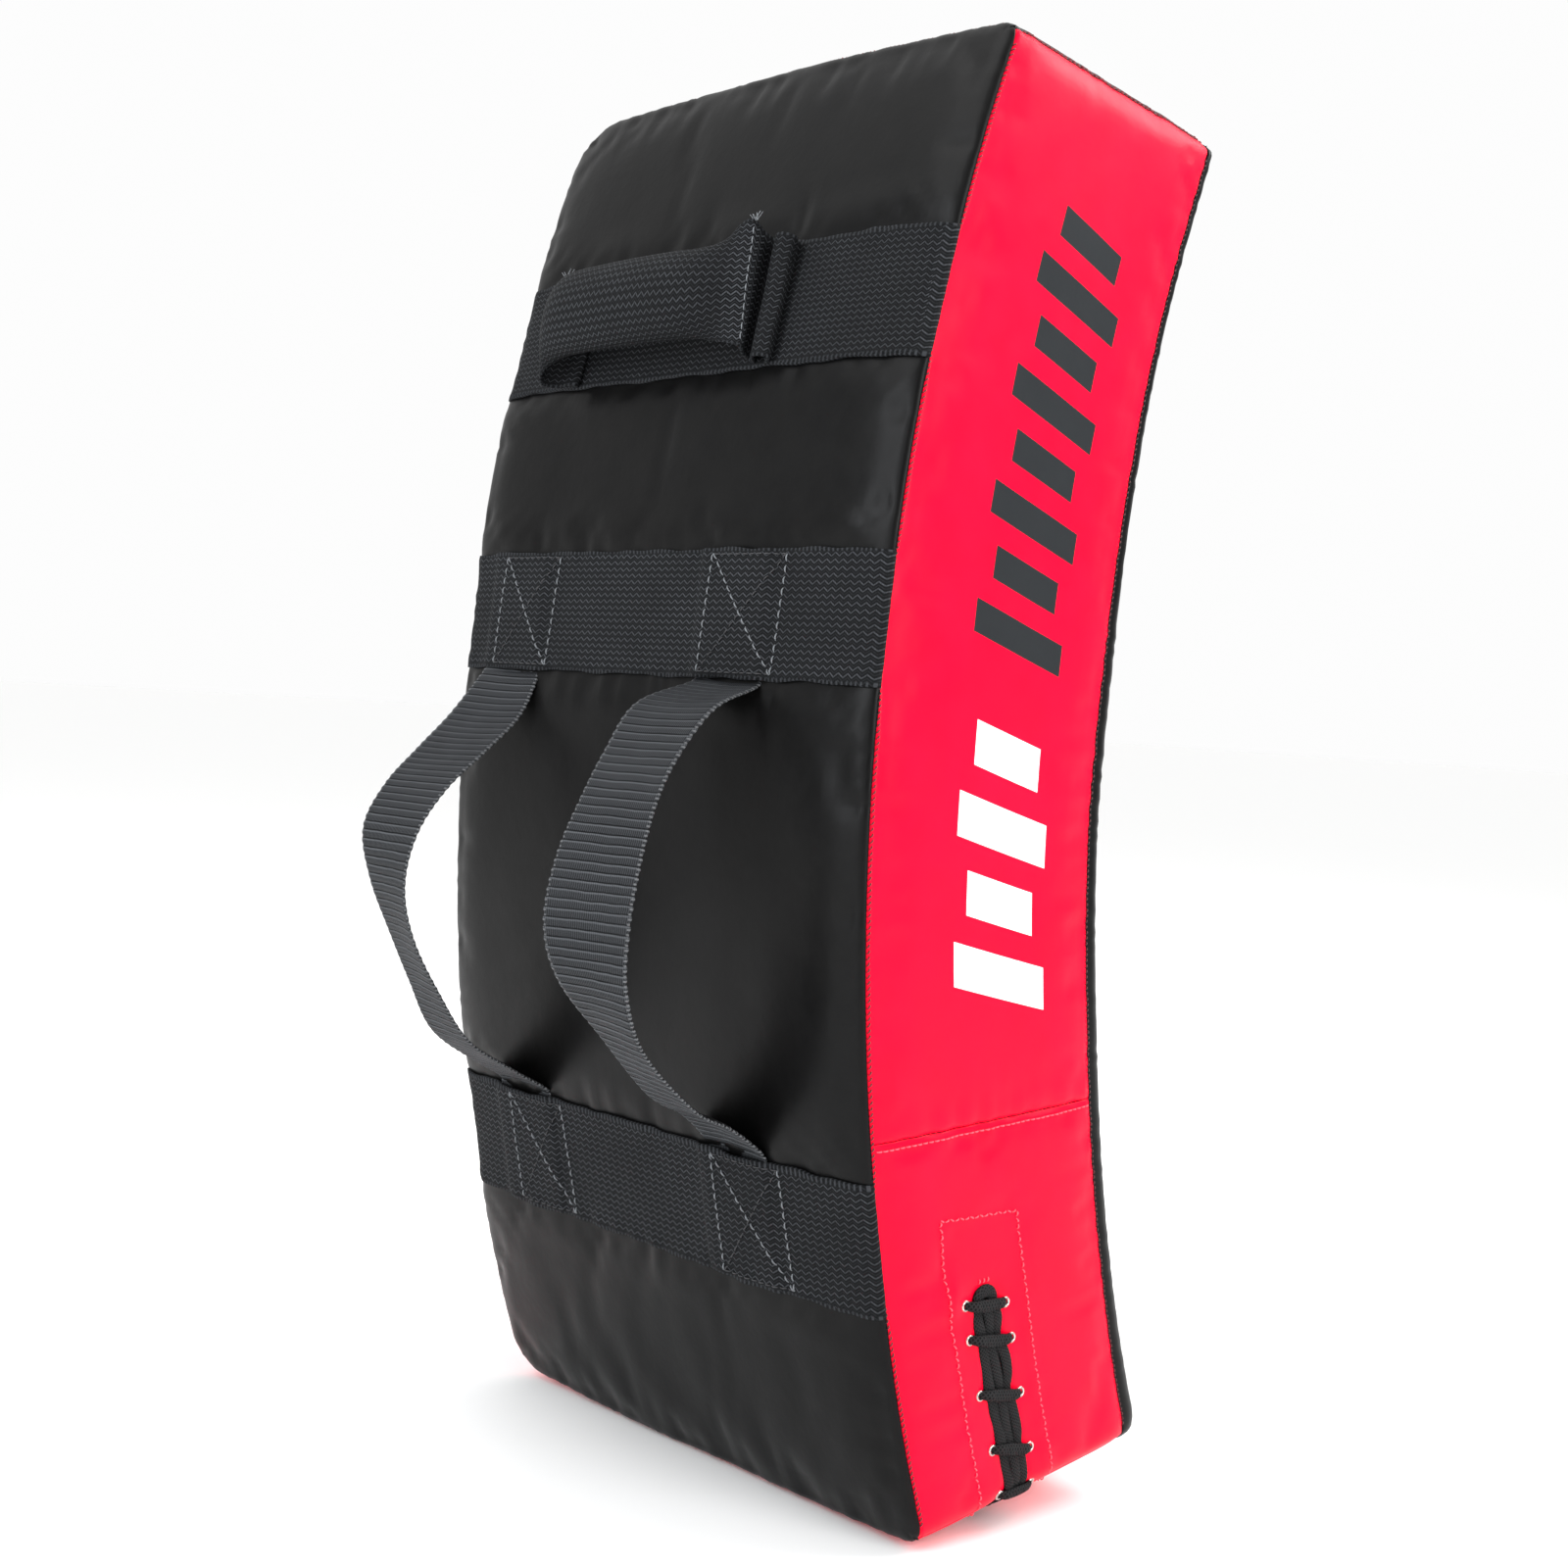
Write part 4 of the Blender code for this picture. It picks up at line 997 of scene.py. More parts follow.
def ribbon(name, centre, across, mat, thick=0.0016, half=LOOP_HALF, start=0.0, inner=None):
    """Ribbed webbing along centre: across is the unit vector over its width at each point."""
    P = resample(np.concatenate([centre, across], 1), 0.00055)
    c, w = P[:, :3], P[:, 3:]
    w = w / np.linalg.norm(w, axis=1)[:, None]
    t = np.gradient(c, axis=0)
    t /= np.linalg.norm(t, axis=1)[:, None]
    n = np.cross(w, t)
    n /= np.linalg.norm(n, axis=1)[:, None]
    s = np.concatenate([[0], np.cumsum(np.linalg.norm(np.diff(c, axis=0), axis=1))]) + start
    K = 19
    V = np.linspace(-1, 1, K)
    V = np.sign(V) * np.abs(V) ** 0.85
    rib = ribs(s)
    scallop = 0.00035 * np.sin(s * 2 * math.pi / 0.0047) + 0.00025 * np.sin(s * 37)
    verts, uv = [], []
    for side in (1, -1):
        for v in V:
            edge = max(0.0, (abs(v) - 0.90) / 0.10)
            th = thick / 2 * (1 - 0.55 * edge**2) + rib * (1 - 0.7 * edge)
            cup = -0.0008 * v * v + 0.0004 * np.sin(s * 45 + 2 * v)
            bead = 0.0
            verts.append(c + w * ((half + scallop * edge) * v)[:, None] + n * (side * th + cup)[:, None])
            uv.append(np.stack([s, np.full_like(s, v * half + 0.1)], 1))
    verts = np.array(verts)  # 2K, N, 3
    uv = np.array(uv)
    order = list(range(K)) + list(range(2 * K - 1, K - 1, -1))
    verts, uv = verts[order], uv[order]
    N = len(c)
    faces = []
    for j in range(2 * K):
        k = (j + 1) % (2 * K)
        a0 = j * N + np.arange(N - 1)
        b0 = k * N + np.arange(N - 1)
        faces += [tuple(r) for r in np.stack([a0, b0, b0 + 1, a0 + 1], 1)]
    faces.append(tuple(j * N for j in range(2 * K))[::-1])
    faces.append(tuple(j * N + N - 1 for j in range(2 * K)))
    obj = new_object(name, verts.reshape(-1, 3), faces, uv.reshape(-1, 2))
    bm = bmesh.new()
    bm.from_mesh(obj.data)
    bmesh.ops.recalc_face_normals(bm, faces=bm.faces)
    bm.to_mesh(obj.data)
    bm.free()
    paint(obj, mat)
    if inner is not None:
        # the face towards the shield gets the darker copy of the webbing: painted shade on the loop's inner face
        obj.data.materials.append(inner)
        hidden = range(K, 2 * K - 1) if n[:, 1].mean() < 0 else range(0, K - 1)
        index = np.zeros(len(obj.data.polygons), np.int32)
        strip = np.arange(2 * K * (N - 1)) // (N - 1)
        index[: len(strip)] = np.isin(strip, list(hidden))
        obj.data.polygons.foreach_set("material_index", index)
    return obj, s[-1]


NEAR_LOOP = (0.0710, 0.0810, ((0.003, 0.0460, 4), (0.037, 0.0330, 12), (0.0570, 0.0090, 8), (0.0700, -0.0140, 9), (0.0810, -0.0430, 16), (0.0865, -0.0740, 17), (0.0820, -0.1015, 5), (0.0630, -0.1310, -12), (0.0320, -0.1610, -11), (0.0090, -0.1720, -8), (-0.0120, -0.1850, -5)))
FAR_LOOP = (-0.1195, -0.1060, ((0.002, 0.0460, 6), (0.022, 0.0215, 14), (0.0440, 0.0010, 14), (0.0660, -0.0190, 9), (0.0815, -0.0430, 3), (0.0825, -0.0700, -10), (0.0735, -0.0980, -16), (0.0580, -0.1280, -13), (0.0400, -0.1560, -8), (0.0100, -0.1745, -5), (-0.0120, -0.1850, -5)))


def under_band(x, z, lift):
    q = np.array([[x, 0.0, arc_of(z)]])
    p, n = skin("back", q)
    return p[0] + n[0] * lift


for side, (x0, x1, line) in (("near", NEAR_LOOP), ("far", FAR_LOOP)):
    rows = []
    z_top, z_low = line[0][1], line[-1][1]
    for out, z, twist in line:
        x = x0 + (x1 - x0) * (z_top - z) / (z_top - z_low)
        rows.append((x, Y_BACK - out, Z_MID + z, math.radians(twist)))
    # both ends tuck under their bands, on the cover's real surface
    first = under_band(x0, 0.0520, 0.0012)
    last = under_band(x1, -0.1925, 0.0012)
    rows[0] = (x0, under_band(x0, 0.0455, 0.0016)[1], Z_MID + 0.0455, rows[0][3] * 0.5)
    rows[-1] = (x1, under_band(x1, -0.1850, 0.0016)[1], Z_MID - 0.1850, rows[-1][3] * 0.5)
    rows = [(*first, 0.0)] + rows + [(*last, 0.0)]
    fine = smooth_line(rows, 14)
    across = np.stack([np.cos(fine[:, 3]), np.sin(fine[:, 3]), 0 * fine[:, 3]], 1)
    loop, loop_length = ribbon("arm_loop_" + side + "_strap", fine[:, :3], across, LOOP_WEB.mat, inner=LOOP_INNER_SHADE.mat)
    print("loop", side, "length", round(float(loop_length), 4))
    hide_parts("arm_loop_" + side)
    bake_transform(loop)
    for band_name, way in (("middle_band", "upper"), ("lower_band", "lower")):
        z0, z1 = BANDS[band_name]
        c = dict(TAILS[band_name])[side + "_" + way]
        zs = np.linspace(z0 + 0.0045, z1 - 0.0035, 24) if way == "upper" else np.linspace(z1 - 0.0045, z0 + 0.0035, 24)
        pts = np.array([under_band(c, z, 0.0011) for z in zs])
        tail, _ = ribbon("arm_loop_" + side + "_" + way + "_end", pts, np.tile([1.0, 0, 0], (len(pts), 1)), LOOP_WEB.mat, thick=0.0012)
        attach(tail, "shield")
        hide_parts("arm_loop_" + side + "_" + way + "_tail")

# ------------------------------------------------------------------ top grip: one strap folded and sewn down, wrapped round a roll
HANDLE_ARC = 0.2405
HANDLE_BASE = at(np.array([[0.0, 0.0, HANDLE_ARC]]))[0]
N_OUT = np.array([0, -math.cos(HANDLE_ARC / R_BACK), math.sin(HANDLE_ARC / R_BACK)])
N_UP = np.array([0, math.sin(HANDLE_ARC / R_BACK), math.cos(HANDLE_ARC / R_BACK)])
GRIP_V, GRIP_W = 0.0240, 0.0150
# x, stand-off, how far the strap wraps, shift up, how much more the top stands off than the bottom
GRIP_LINE = (
    (0.1742, 0.0036, 0, 0, 0),
    (0.1450, 0.0044, 0, 0, 0),
    (0.1100, 0.0042, 0, 0, 0),
    (0.0850, 0.0042, 0, 0, 0),
    (0.0745, 0.0043, 0, 0, 0),
    (0.0705, 0.0048, 0, 0, 0),
    (0.0700, 0.0068, 0, 0.0004, 0),
    (0.0728, 0.0105, 0, 0.0008, 0.0004),
    (0.0732, 0.0148, 0, 0.0012, 0.0008),
    (0.0695, 0.0180, 0, 0.0014, 0.0012),
    (0.0640, 0.0178, 0, 0.0014, 0.0012),
    (0.0600, 0.0140, 0, 0.0014, 0.0008),
    (0.0580, 0.0095, 0, 0.0016, 0.0006),
    (0.0556, 0.0074, 0, 0.0020, 0.0010),
    (0.0534, 0.0100, 0, 0.0030, 0.0018),
    (0.0538, 0.0160, 0, 0.0042, 0.0030),
    (0.0560, 0.0215, 0.01, 0.0056, 0.0042),
    (0.0562, 0.0258, 0.03, 0.0060, 0.0046),
    (0.0534, 0.0300, 0.10, 0.0052, 0.0040),
    (0.0485, 0.0350, 0.26, 0.0036, 0.0030),
    (0.0415, 0.0400, 0.52, 0.0018, 0.0020),
    (0.0340, 0.0440, 0.76, 0.0006, 0.0010),
    (0.0230, 0.0468, 0.95, 0, 0),
    (0.0080, 0.0484, 1, 0, 0),
    (-0.0220, 0.0490, 1, 0, 0),
    (-0.0550, 0.0482, 1, 0, 0),
    (-0.0780, 0.0466, 0.94, 0, 0),
    (-0.0910, 0.0436, 0.78, -0.0006, 0),
    (-0.1000, 0.0388, 0.50, -0.0022, 0),
    (-0.1055, 0.0328, 0.25, -0.0040, 0),
    (-0.1080, 0.0262, 0.08, -0.0050, 0),
    (-0.1078, 0.0200, 0, -0.0042, 0),
    (-0.1040, 0.0145, 0, -0.0030, 0),
    (-0.0985, 0.0110, 0, -0.0016, 0),
    (-0.0948, 0.0084, 0, -0.0006, 0),
    (-0.0960, 0.0060, 0, 0, 0),
    (-0.1020, 0.0046, 0, 0, 0),
    (-0.1250, 0.0042, 0, 0, 0),
    (-0.1500, 0.0044, 0, 0, 0),
    (-0.1742, 0.0036, 0, 0, 0),
)


def grip_rows(line, n):
    return smooth_line(line, n)


def grip_point(x, out, up):
    """A place by the grip, measured from the cover where it lies flat and from the block higher up."""
    return HANDLE_BASE + np.array([x, 0, 0]) + N_OUT * out + N_UP * up


rows = grip_rows(GRIP_LINE, 9)
length = np.concatenate([[0], np.cumsum(np.linalg.norm(np.diff(rows[:, :2], axis=0), axis=1))])
V = np.linspace(-1, 1, 41)
P = np.zeros((len(rows), len(V), 3))
UVG = np.zeros((len(rows), len(V), 2))
slack = [noise.noise(Vector((x * 30.0, 1.0, 2.0))) for x in length]
for i, (x, out, wrap, shift, tilt) in enumerate(rows):
    turn = V * math.radians(118)
    roll_out = -(1 - np.cos(turn)) * GRIP_W
    roll_up = np.sin(turn) * GRIP_V
    up = (1 - wrap) * V * 0.0325 + wrap * roll_up + shift
    o = out + wrap * roll_out + tilt * V
    # near the cover the strap takes its shape: a short way out it is free
    flat = max(0.0, 1 - (out - 0.0036) / 0.010)
    z = HANDLE_BASE[2] + up * N_UP[2]
    q = np.stack([np.full(len(V), x), 0 * V, HANDLE_ARC + up], 1)
    p_skin, n_skin = skin("back", q)
    free = HANDLE_BASE + np.array([1.0, 0, 0]) * x + N_OUT * o[:, None] + N_UP * up[:, None]
    laid = p_skin + n_skin * (0.0040 * (1 - math.exp(-(HX - abs(x)) / 0.004)) + 0.0004 + (o - 0.0042) * (abs(x) < 0.12))[:, None] if hasattr(o, "shape") and abs(x) < 0.12 else p_skin + n_skin * (0.0006 + 0.0036 * (1 - math.exp(-(HX - abs(x)) / 0.004)))
    ripple = 0.0006 * slack[i] * np.cos(V * 5) * (1 - flat) * (1 - wrap)
    P[i] = flat * laid + (1 - flat) * free + N_OUT * ripple[:, None]
    UVG[i, :, 0] = length[i]
    UVG[i, :, 1] = V * 0.0325 + 0.0325
strap = sheet_from_grid("grip_strap", P[::-1], UVG[::-1].reshape(-1, 2), GRIP_WEB.mat, None, 0.0015, ["grip_handle_webbing", "handle_near_tail", "handle_far_tail"])
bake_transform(strap)

ridge_at = int(np.argmin(np.abs(rows[:, 0] - 0.0562) + np.abs(rows[:, 1] - 0.0240)))
far_at = int(np.argmin(np.abs(rows[:, 0] + 0.1080) + np.abs(rows[:, 1] - 0.0262)))
print("ridge at", round(float(length[ridge_at]), 4), "of", round(float(length[-1]), 4))
store = {"v": [], "f": []}
spine = P[ridge_at, 2:-2]
out_way = np.repeat((N_OUT + np.array([0.35, 0, 0]))[None], len(spine), 0)
out_way /= np.linalg.norm(out_way, axis=1)[:, None]
stitch_line(store, spine + out_way * 0.0003, out_way, pitch=0.0048, length=0.0036, r=0.00036, lift=0.0003)
for where, count, size in ((P[ridge_at, -1], 9, 0.0052), (P[far_at, -1], 7, 0.0060)):
    for k in range(count):
        lean = np.array([0.5 * math.sin(k * 2.4), 0.0, 0.0]) + N_UP * (0.8 + 0.3 * math.sin(k * 1.7)) + N_OUT * (0.25 * math.cos(k * 3.1))
        t = np.linspace(0, 1, 7)[:, None]
        curl = np.array([1.0, 0, 0]) * (0.0016 * math.sin(k * 5.1)) * t**2 + N_OUT * (0.0014 * math.cos(k * 2.2)) * t**2
        line = where + np.array([0.0016 * math.sin(k * 1.9), 0, 0]) - N_UP * 0.0006 + lean * size * t * (0.6 + 0.4 * abs(math.sin(k * 4.3))) + curl
        v_, f_, _ = sweep(line, np.repeat(N_OUT[None], len(line), 0), np.array(oval(0.00036, 0.00036, 6, 2.0)))
        base = len(store["v"])
        store["v"] += [tuple(q_) for q_ in v_]
        store["f"] += [tuple(int(i_) + base for i_ in f) for f in f_]
ends_obj = new_object("grip_loose_threads", store["v"], store["f"])
bm = bmesh.new()
bm.from_mesh(ends_obj.data)
bmesh.ops.recalc_face_normals(bm, faces=bm.faces)
bm.to_mesh(ends_obj.data)
bm.free()
paint(ends_obj, GREY_THREAD.mat)
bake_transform(ends_obj)

# the roll inside the grip
ring = 28
X = np.array([0.0450, 0.0445, 0.0430, 0.0400, 0.0340, *np.linspace(0.026, -0.076, 22), -0.0840, -0.0900, -0.0930, -0.0945, -0.0950])
SC = np.array([0.0, 0.40, 0.66, 0.84, 0.95, *[1.0] * 22, 0.95, 0.84, 0.66, 0.40, 0.0])
verts = []
for x, sc in zip(X, SC):
    sc = max(sc, 0.02)
    out = np.interp(-x, [-0.0450, -0.0340, -0.0080, 0.0220, 0.0780, 0.0910, 0.0950], [0.0370, 0.0440, 0.0484, 0.0490, 0.0466, 0.0436, 0.0420])
    for k in range(ring):
        w = 2 * math.pi * k / ring
        c, s_ = math.cos(w), math.sin(w)
        o = out - GRIP_W + (GRIP_W - 0.0022) * sc * c + 0.0003 * math.sin(x * 220 + 4 * w)
        verts.append(HANDLE_BASE + np.array([x, 0, 0]) + N_OUT * o + N_UP * ((GRIP_V - 0.0024) * sc * s_))
faces = []
for i in range(len(X) - 1):
    for k in range(ring):
        a0, b0 = i * ring + k, i * ring + (k + 1) % ring
        faces.append((a0, b0, b0 + ring, a0 + ring))
faces.append(tuple(range(ring))[::-1])
faces.append(tuple((len(X) - 1) * ring + k for k in range(ring)))
uv = [(X[i // ring] + 0.2, 0.0025 * (i % ring)) for i in range(len(verts))]
roll = new_object("grip_roll", verts, faces, uv)
bm = bmesh.new()
bm.from_mesh(roll.data)
bmesh.ops.recalc_face_normals(bm, faces=bm.faces)
bm.to_mesh(roll.data)
bm.free()
paint(roll, LINING.mat)
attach(roll, "grip_handle")
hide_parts("grip_handle_foam")

# ------------------------------------------------------------------ lacing
def lace_place(s, d, out):
    """Points along the slit: s runs down the side from zero at the bottom edge (positive up), and on along the end (negative)."""
    s, d, out = np.broadcast_arrays(np.asarray(s, float), np.asarray(d, float), np.asarray(out, float))
    side = s >= 0
    q_side = np.stack([np.full(len(s), HX), d, -ARC + np.maximum(s, 0.0)], 1)
    q_end = np.stack([HX + np.minimum(s, 0.0), d, np.full(len(s), -ARC)], 1)
    p1, n1 = skin("laced", q_side)
    p2, n2 = skin("bottom", q_end)
    p = np.where(side[:, None], p1, p2)
    n = np.where(side[:, None], n1, n2)
    # the cover dips towards the slit: the lace lies over the gap at the height of the lips
    return p + n * (out + 0.0016)[:, None], n


def braided(name, p, n, width, height, mat=None, body="shield", taper=1.0):
    fine = resample(np.concatenate([p, n], 1), 0.00055)
    p, n = fine[:, :3], fine[:, 3:]
    k = 20
    base = np.array(oval(width, height, k, 2.2))
    s = np.concatenate([[0], np.cumsum(np.linalg.norm(np.diff(p, axis=0), axis=1))])
    girth = np.concatenate([[0], np.cumsum(np.linalg.norm(np.diff(base, axis=0), axis=1))])
    total = girth[-1] + np.linalg.norm(base[0] - base[-1])
    sec = np.zeros((len(p), k, 2))
    turns = max(4, round(total / 0.0021))
    for j in range(k):
        g = girth[j] / total * turns
        a = np.sin(2 * math.pi * (s / 0.0024 + g))
        b = np.sin(2 * math.pi * (s / 0.0024 - g))
        rise = 0.00018 * np.maximum(a, b)
        r = base[j] / np.linalg.norm(base[j])
        thin = taper + (1 - taper) * np.clip(np.sin(math.pi * s / s[-1]), 0, 1) ** 0.6
        sec[:, j] = (base[j][None] + r[None] * rise[:, None]) * np.stack([thin, np.ones_like(thin)], 1)
    v, f, uv = sweep(p, n, sec)
    obj = new_object(name, v, f, uv)
    bm = bmesh.new()
    bm.from_mesh(obj.data)
    bmesh.ops.recalc_face_normals(bm, faces=bm.faces)
    bm.to_mesh(obj.data)
    bm.free()
    paint(obj, mat or LACE_CORD.mat)
    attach(obj, body)
    return obj


rows_all = list(ROWS_SIDE) + [-(HX - x) for x in ROWS_END]
top_s, end_s = ROWS_SIDE[-1], -(HX - ROWS_END[-1])
S = np.arange(end_s - 0.004, top_s + 0.0030, 0.0012)
MID = lace_mid(S)
FULL = np.interp(S, [-0.02, 0.0, 0.03, 0.06, 0.10, 0.117], [0.86, 0.84, 0.88, 1.0, 1.0, 0.90])
under = np.zeros(len(S))
for r in rows_all:
    under = np.maximum(under, bump(S - r, 0.0045))
between = np.ones(len(S))
for r in rows_all:
    between = np.minimum(between, 1 - bump(S - r, 0.006))
first = None
for name, sign, phase in (("lace_strand_back", -1, 0.0), ("lace_strand_front", 1, 1.7), ("lace_strand_middle", 0, 3.1)):
    spread_d = sign * (0.0055 + 0.0016 * between) * FULL
    d = MID + spread_d + 0.0005 * np.sin(S * 160 + phase)
    out = -0.0006 - 0.0008 * under + 0.0004 * np.sin(S * 210 + phase) + (0.0003 if sign == 0 else 0)
    p, n = lace_place(S if sign else S[:-3], d if sign else d[:-3], out if sign else out[:-3])
    if sign == -1:
        # the outer strands are one lace that turns over above the first row
        p_f, n_f = lace_place(S, MID + (0.0055 + 0.0016 * between) * FULL + 0.0005 * np.sin(S * 160 + 1.7), -0.0006 - 0.0008 * under + 0.0004 * np.sin(S * 210 + 1.7))
        t = np.linspace(0, math.pi, 11)[1:-1]
        arch_s = S[-1] + 0.0052 * np.sin(t)
        arch_d = MID[-1] - 0.0052 * np.cos(t)
        pa, na = lace_place(arch_s, arch_d, np.full(len(t), -0.0002))
        line = np.concatenate([p, pa, p_f[::-1]])
        norm = np.concatenate([n, na, n_f[::-1]])
        first = braided("lace_run", line, norm, 0.0068, 0.0027)
        print("lace run length", round(float(np.linalg.norm(np.diff(line, axis=0), axis=1).sum()), 3))
    elif sign == 0:
        braided("lace_run_middle", p, n, 0.0066, 0.0025)

for number, r in enumerate(rows_all):
    t = np.linspace(-1, 1, 15)
    here = float(lace_half(r)) if r > 0 else LACE_HALF
    d = float(lace_mid(r)) + (here - 0.0002) * t
    rise = 0.0036 * (1 - np.abs(t) ** 4.0) - 0.0016
    tip = np.abs(t) > 0.93
    rise = np.where(tip, -0.0024, rise)
    skew = -(float(lace_tilt(r)) if r > 0 else 0.0) * t + 0.0005 * np.cos(t * 2 + number)
    p, n = lace_place(r + skew, d, rise - 0.0002)
    bar = braided("lace_bar_%02d" % (number + 1), p, n, 0.0062, 0.0030, taper=0.55)
    if number == 0:
        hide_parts("lace")

# eyelets: a rolled rim and a barrel
profile = [(0.0021, -0.0034), (0.0021, 0.0002), (0.0023, 0.0006), (0.0027, 0.0009), (0.0032, 0.00095), (0.0036, 0.0008), (0.0039, 0.0005), (0.0040, 0.0001), (0.0039, -0.0003), (0.0034, -0.0002), (0.0027, -0.0004), (0.0026, -0.0034)]
order = 0
EYELET_RIM = 0.0040
for i, r in enumerate(rows_all):
    for j, sign in enumerate((-1, 1)):
        order += 1
        here = float(lace_half(r)) if r > 0 else LACE_HALF
        p, n = lace_place([r - sign * (float(lace_tilt(r)) if r > 0 else 0.0)], [float(lace_mid(r)) + sign * here], [-0.0012])
        p, n = p[0], n[0]
        a = np.cross(n, [0.3, 0.5, 0.81])
        a /= np.linalg.norm(a)
        b = np.cross(n, a)
        m, k = len(profile), 32
        verts = [p + n * z + (a * math.cos(2 * math.pi * t / k) + b * math.sin(2 * math.pi * t / k)) * rad for t in range(k) for rad, z in ((rad * 0.74, z) for rad, z in profile)]
        faces = [(t * m + s_, t * m + (s_ + 1) % m, ((t + 1) % k) * m + (s_ + 1) % m, ((t + 1) % k) * m + s_) for t in range(k) for s_ in range(m)]
        ring_obj = new_object("eyelet_ring_%02d" % order, verts, faces)
        bm = bmesh.new()
        bm.from_mesh(ring_obj.data)
        bmesh.ops.recalc_face_normals(bm, faces=bm.faces)
        bm.to_mesh(ring_obj.data)
        bm.free()
        paint(ring_obj, NICKEL.mat)
        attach(ring_obj, "shield")
        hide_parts("eyelet_%02d" % order)

# tongue and facings behind the slit
def inside_strip(name, half, s0, s1, depth, thick, mat, nodes, gap=0.0):
    S2 = np.arange(s0, s1, 0.0025)
    obs = []
    spans = ((-half, half),) if gap == 0 else ((-half, -gap), (gap, half))
    verts, faces, uv = [], [], []
    for lo, hi in spans:
        D = np.linspace(LACE_MID + lo, LACE_MID + hi, 11)
        base = len(verts)
        for s_ in S2:
            p, n = lace_place(np.full(len(D), s_), D, np.full(len(D), -0.0016 - depth))
            verts += list(p)
            uv += [(s_, d_) for d_ in D]
        faces += [tuple(f) for f in grid_faces(len(S2), len(D)) + base]
    obj = new_object(name, verts, faces, uv)
    mod = obj.modifiers.new("thickness", "SOLIDIFY")
    mod.thickness, mod.offset = thick, 0
    paint(obj, mat)
    apply_modifiers(obj)
    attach(obj, "shield")
    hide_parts(*nodes)
    return obj


inside_strip("lacing_tongue_cloth", 0.0220, -0.1150, 0.1210, 0.0048, 0.0010, LINING.mat, ["lacing_tongue"])
inside_strip("lacing_facing_strips", 0.0270, -0.1150, 0.1600, 0.0026, 0.0010, PLAIN_RED.mat, ["lacing_facing_side", "lacing_facing_end"], gap=0.0062)

# ------------------------------------------------------------------ thread
def on_face(face, pts, lift=0.0):
    fixed, value, u, v, sign = FACES[face]
    pts = np.asarray(pts, float)
    q = np.zeros((len(pts), 3))
    q[:, u], q[:, v], q[:, fixed] = pts[:, 0], pts[:, 1], value
    p, n = skin(face, q)
    return p + n * lift, n


def run(face, a, b, n=120):
    t = np.linspace(0, 1, n)[:, None]
    return on_face(face, np.array(a)[None] * (1 - t) + np.array(b)[None] * t)


E = 0.0021
long_edges = [run("laced", (E, -ARC + 0.012), (E, ARC - 0.012), 400), run("laced", (THICK - E, -ARC + 0.012), (THICK - E, ARC - 0.012), 400)]
stitches("seam_thread_laced_side", "shield", SEAM_THREAD.mat, "black_leatherette", long_edges, pitch=0.0029, length=0.0019, r=0.00045, slant=0.0014, lift=0.0003)
plain_edges = [run("plain", (E, -ARC + 0.012), (E, ARC - 0.012), 400), run("plain", (THICK - E, -ARC + 0.012), (THICK - E, ARC - 0.012), 400)]
stitches("seam_thread_plain_side", "shield", DARK_THREAD.mat, "black_leatherette", plain_edges, pitch=0.0029, length=0.0019, r=0.00038, slant=0.0014)
ends = [run("top", (-HX + 0.012, E), (HX - 0.012, E)), run("top", (-HX + 0.012, THICK - E), (HX - 0.012, THICK - E)), run("top", (HX - E, 0.010), (HX - E, THICK - 0.010)), run("top", (-HX + E, 0.010), (-HX + E, THICK - 0.010))]
stitches("seam_thread_top_end", "shield", DARK_RED_THREAD.mat, "red_leatherette", ends, pitch=0.0031, length=0.0021, r=0.00040, slant=0.0008)
ends = [run("bottom", (-HX + 0.012, E), (HX - 0.012, E)), run("bottom", (-HX + 0.012, THICK - E), (HX - 0.012, THICK - E)), run("bottom", (-HX + E, 0.010), (-HX + E, THICK - 0.010))]
stitches("seam_thread_bottom_end", "shield", DARK_THREAD.mat, "black_leatherette", ends, pitch=0.0031, length=0.0021, r=0.00038, slant=0.0010)
stitches("seam_thread_laced_top", "shield", DARK_RED_THREAD.mat, "red_leatherette", [run("laced", (0.006, ARC - E), (THICK - 0.006, ARC - E))], pitch=0.0034, length=0.0024, r=0.00045, slant=0.0006)
stitches("seam_thread_cross", "shield", RED_THREAD.mat, "red_leatherette", [run("laced", (0.0035, SEAM_ARC - 0.0036), (THICK - 0.0035, SEAM_ARC - 0.0036))], pitch=0.0036, length=0.0028, r=0.00045, lift=0.0003)
PT = (-0.2153, -0.2210)
PD = (PATCH[0] - 0.0027, PATCH[1] - 0.0022)
stitches("facing_thread", "shield", RED_THREAD.mat, "red_leatherette", [run("laced", (PD[0], PT[0]), (PD[1], PT[1])), run("laced", (PD[0], PT[0]), (PATCH[0], -ARC + 0.004), 200), run("laced", (PD[1], PT[1]), (PATCH[1], -ARC + 0.004), 200)], pitch=0.0034, length=0.0024, r=0.00048, slant=0.0010, zigzag=True, lift=0.0003)
stitches("facing_thread_end", "shield", RED_THREAD.mat, "red_leatherette", [run("bottom", (HX - 0.004, PATCH[0]), (0.040, PATCH[0])), run("bottom", (HX - 0.004, PATCH[1]), (0.040, PATCH[1])), run("bottom", (0.040, PATCH[0]), (0.040, PATCH[1]))], pitch=0.0034, length=0.0024, r=0.00048, slant=0.0010, zigzag=True, lift=0.0003)
bt = -ARC + ROWS_SIDE[-1] + 0.0128
stitches("bartack_thread", "shield", RED_THREAD.mat, "red_leatherette", [run("laced", (float(lace_mid(0.13)) + o, bt - 0.0012), (float(lace_mid(0.13)) + o + 0.0006, bt + 0.0014), 6) for o in (-0.0030, 0.0, 0.0030)], pitch=0.0030, length=0.0026, r=0.00040)


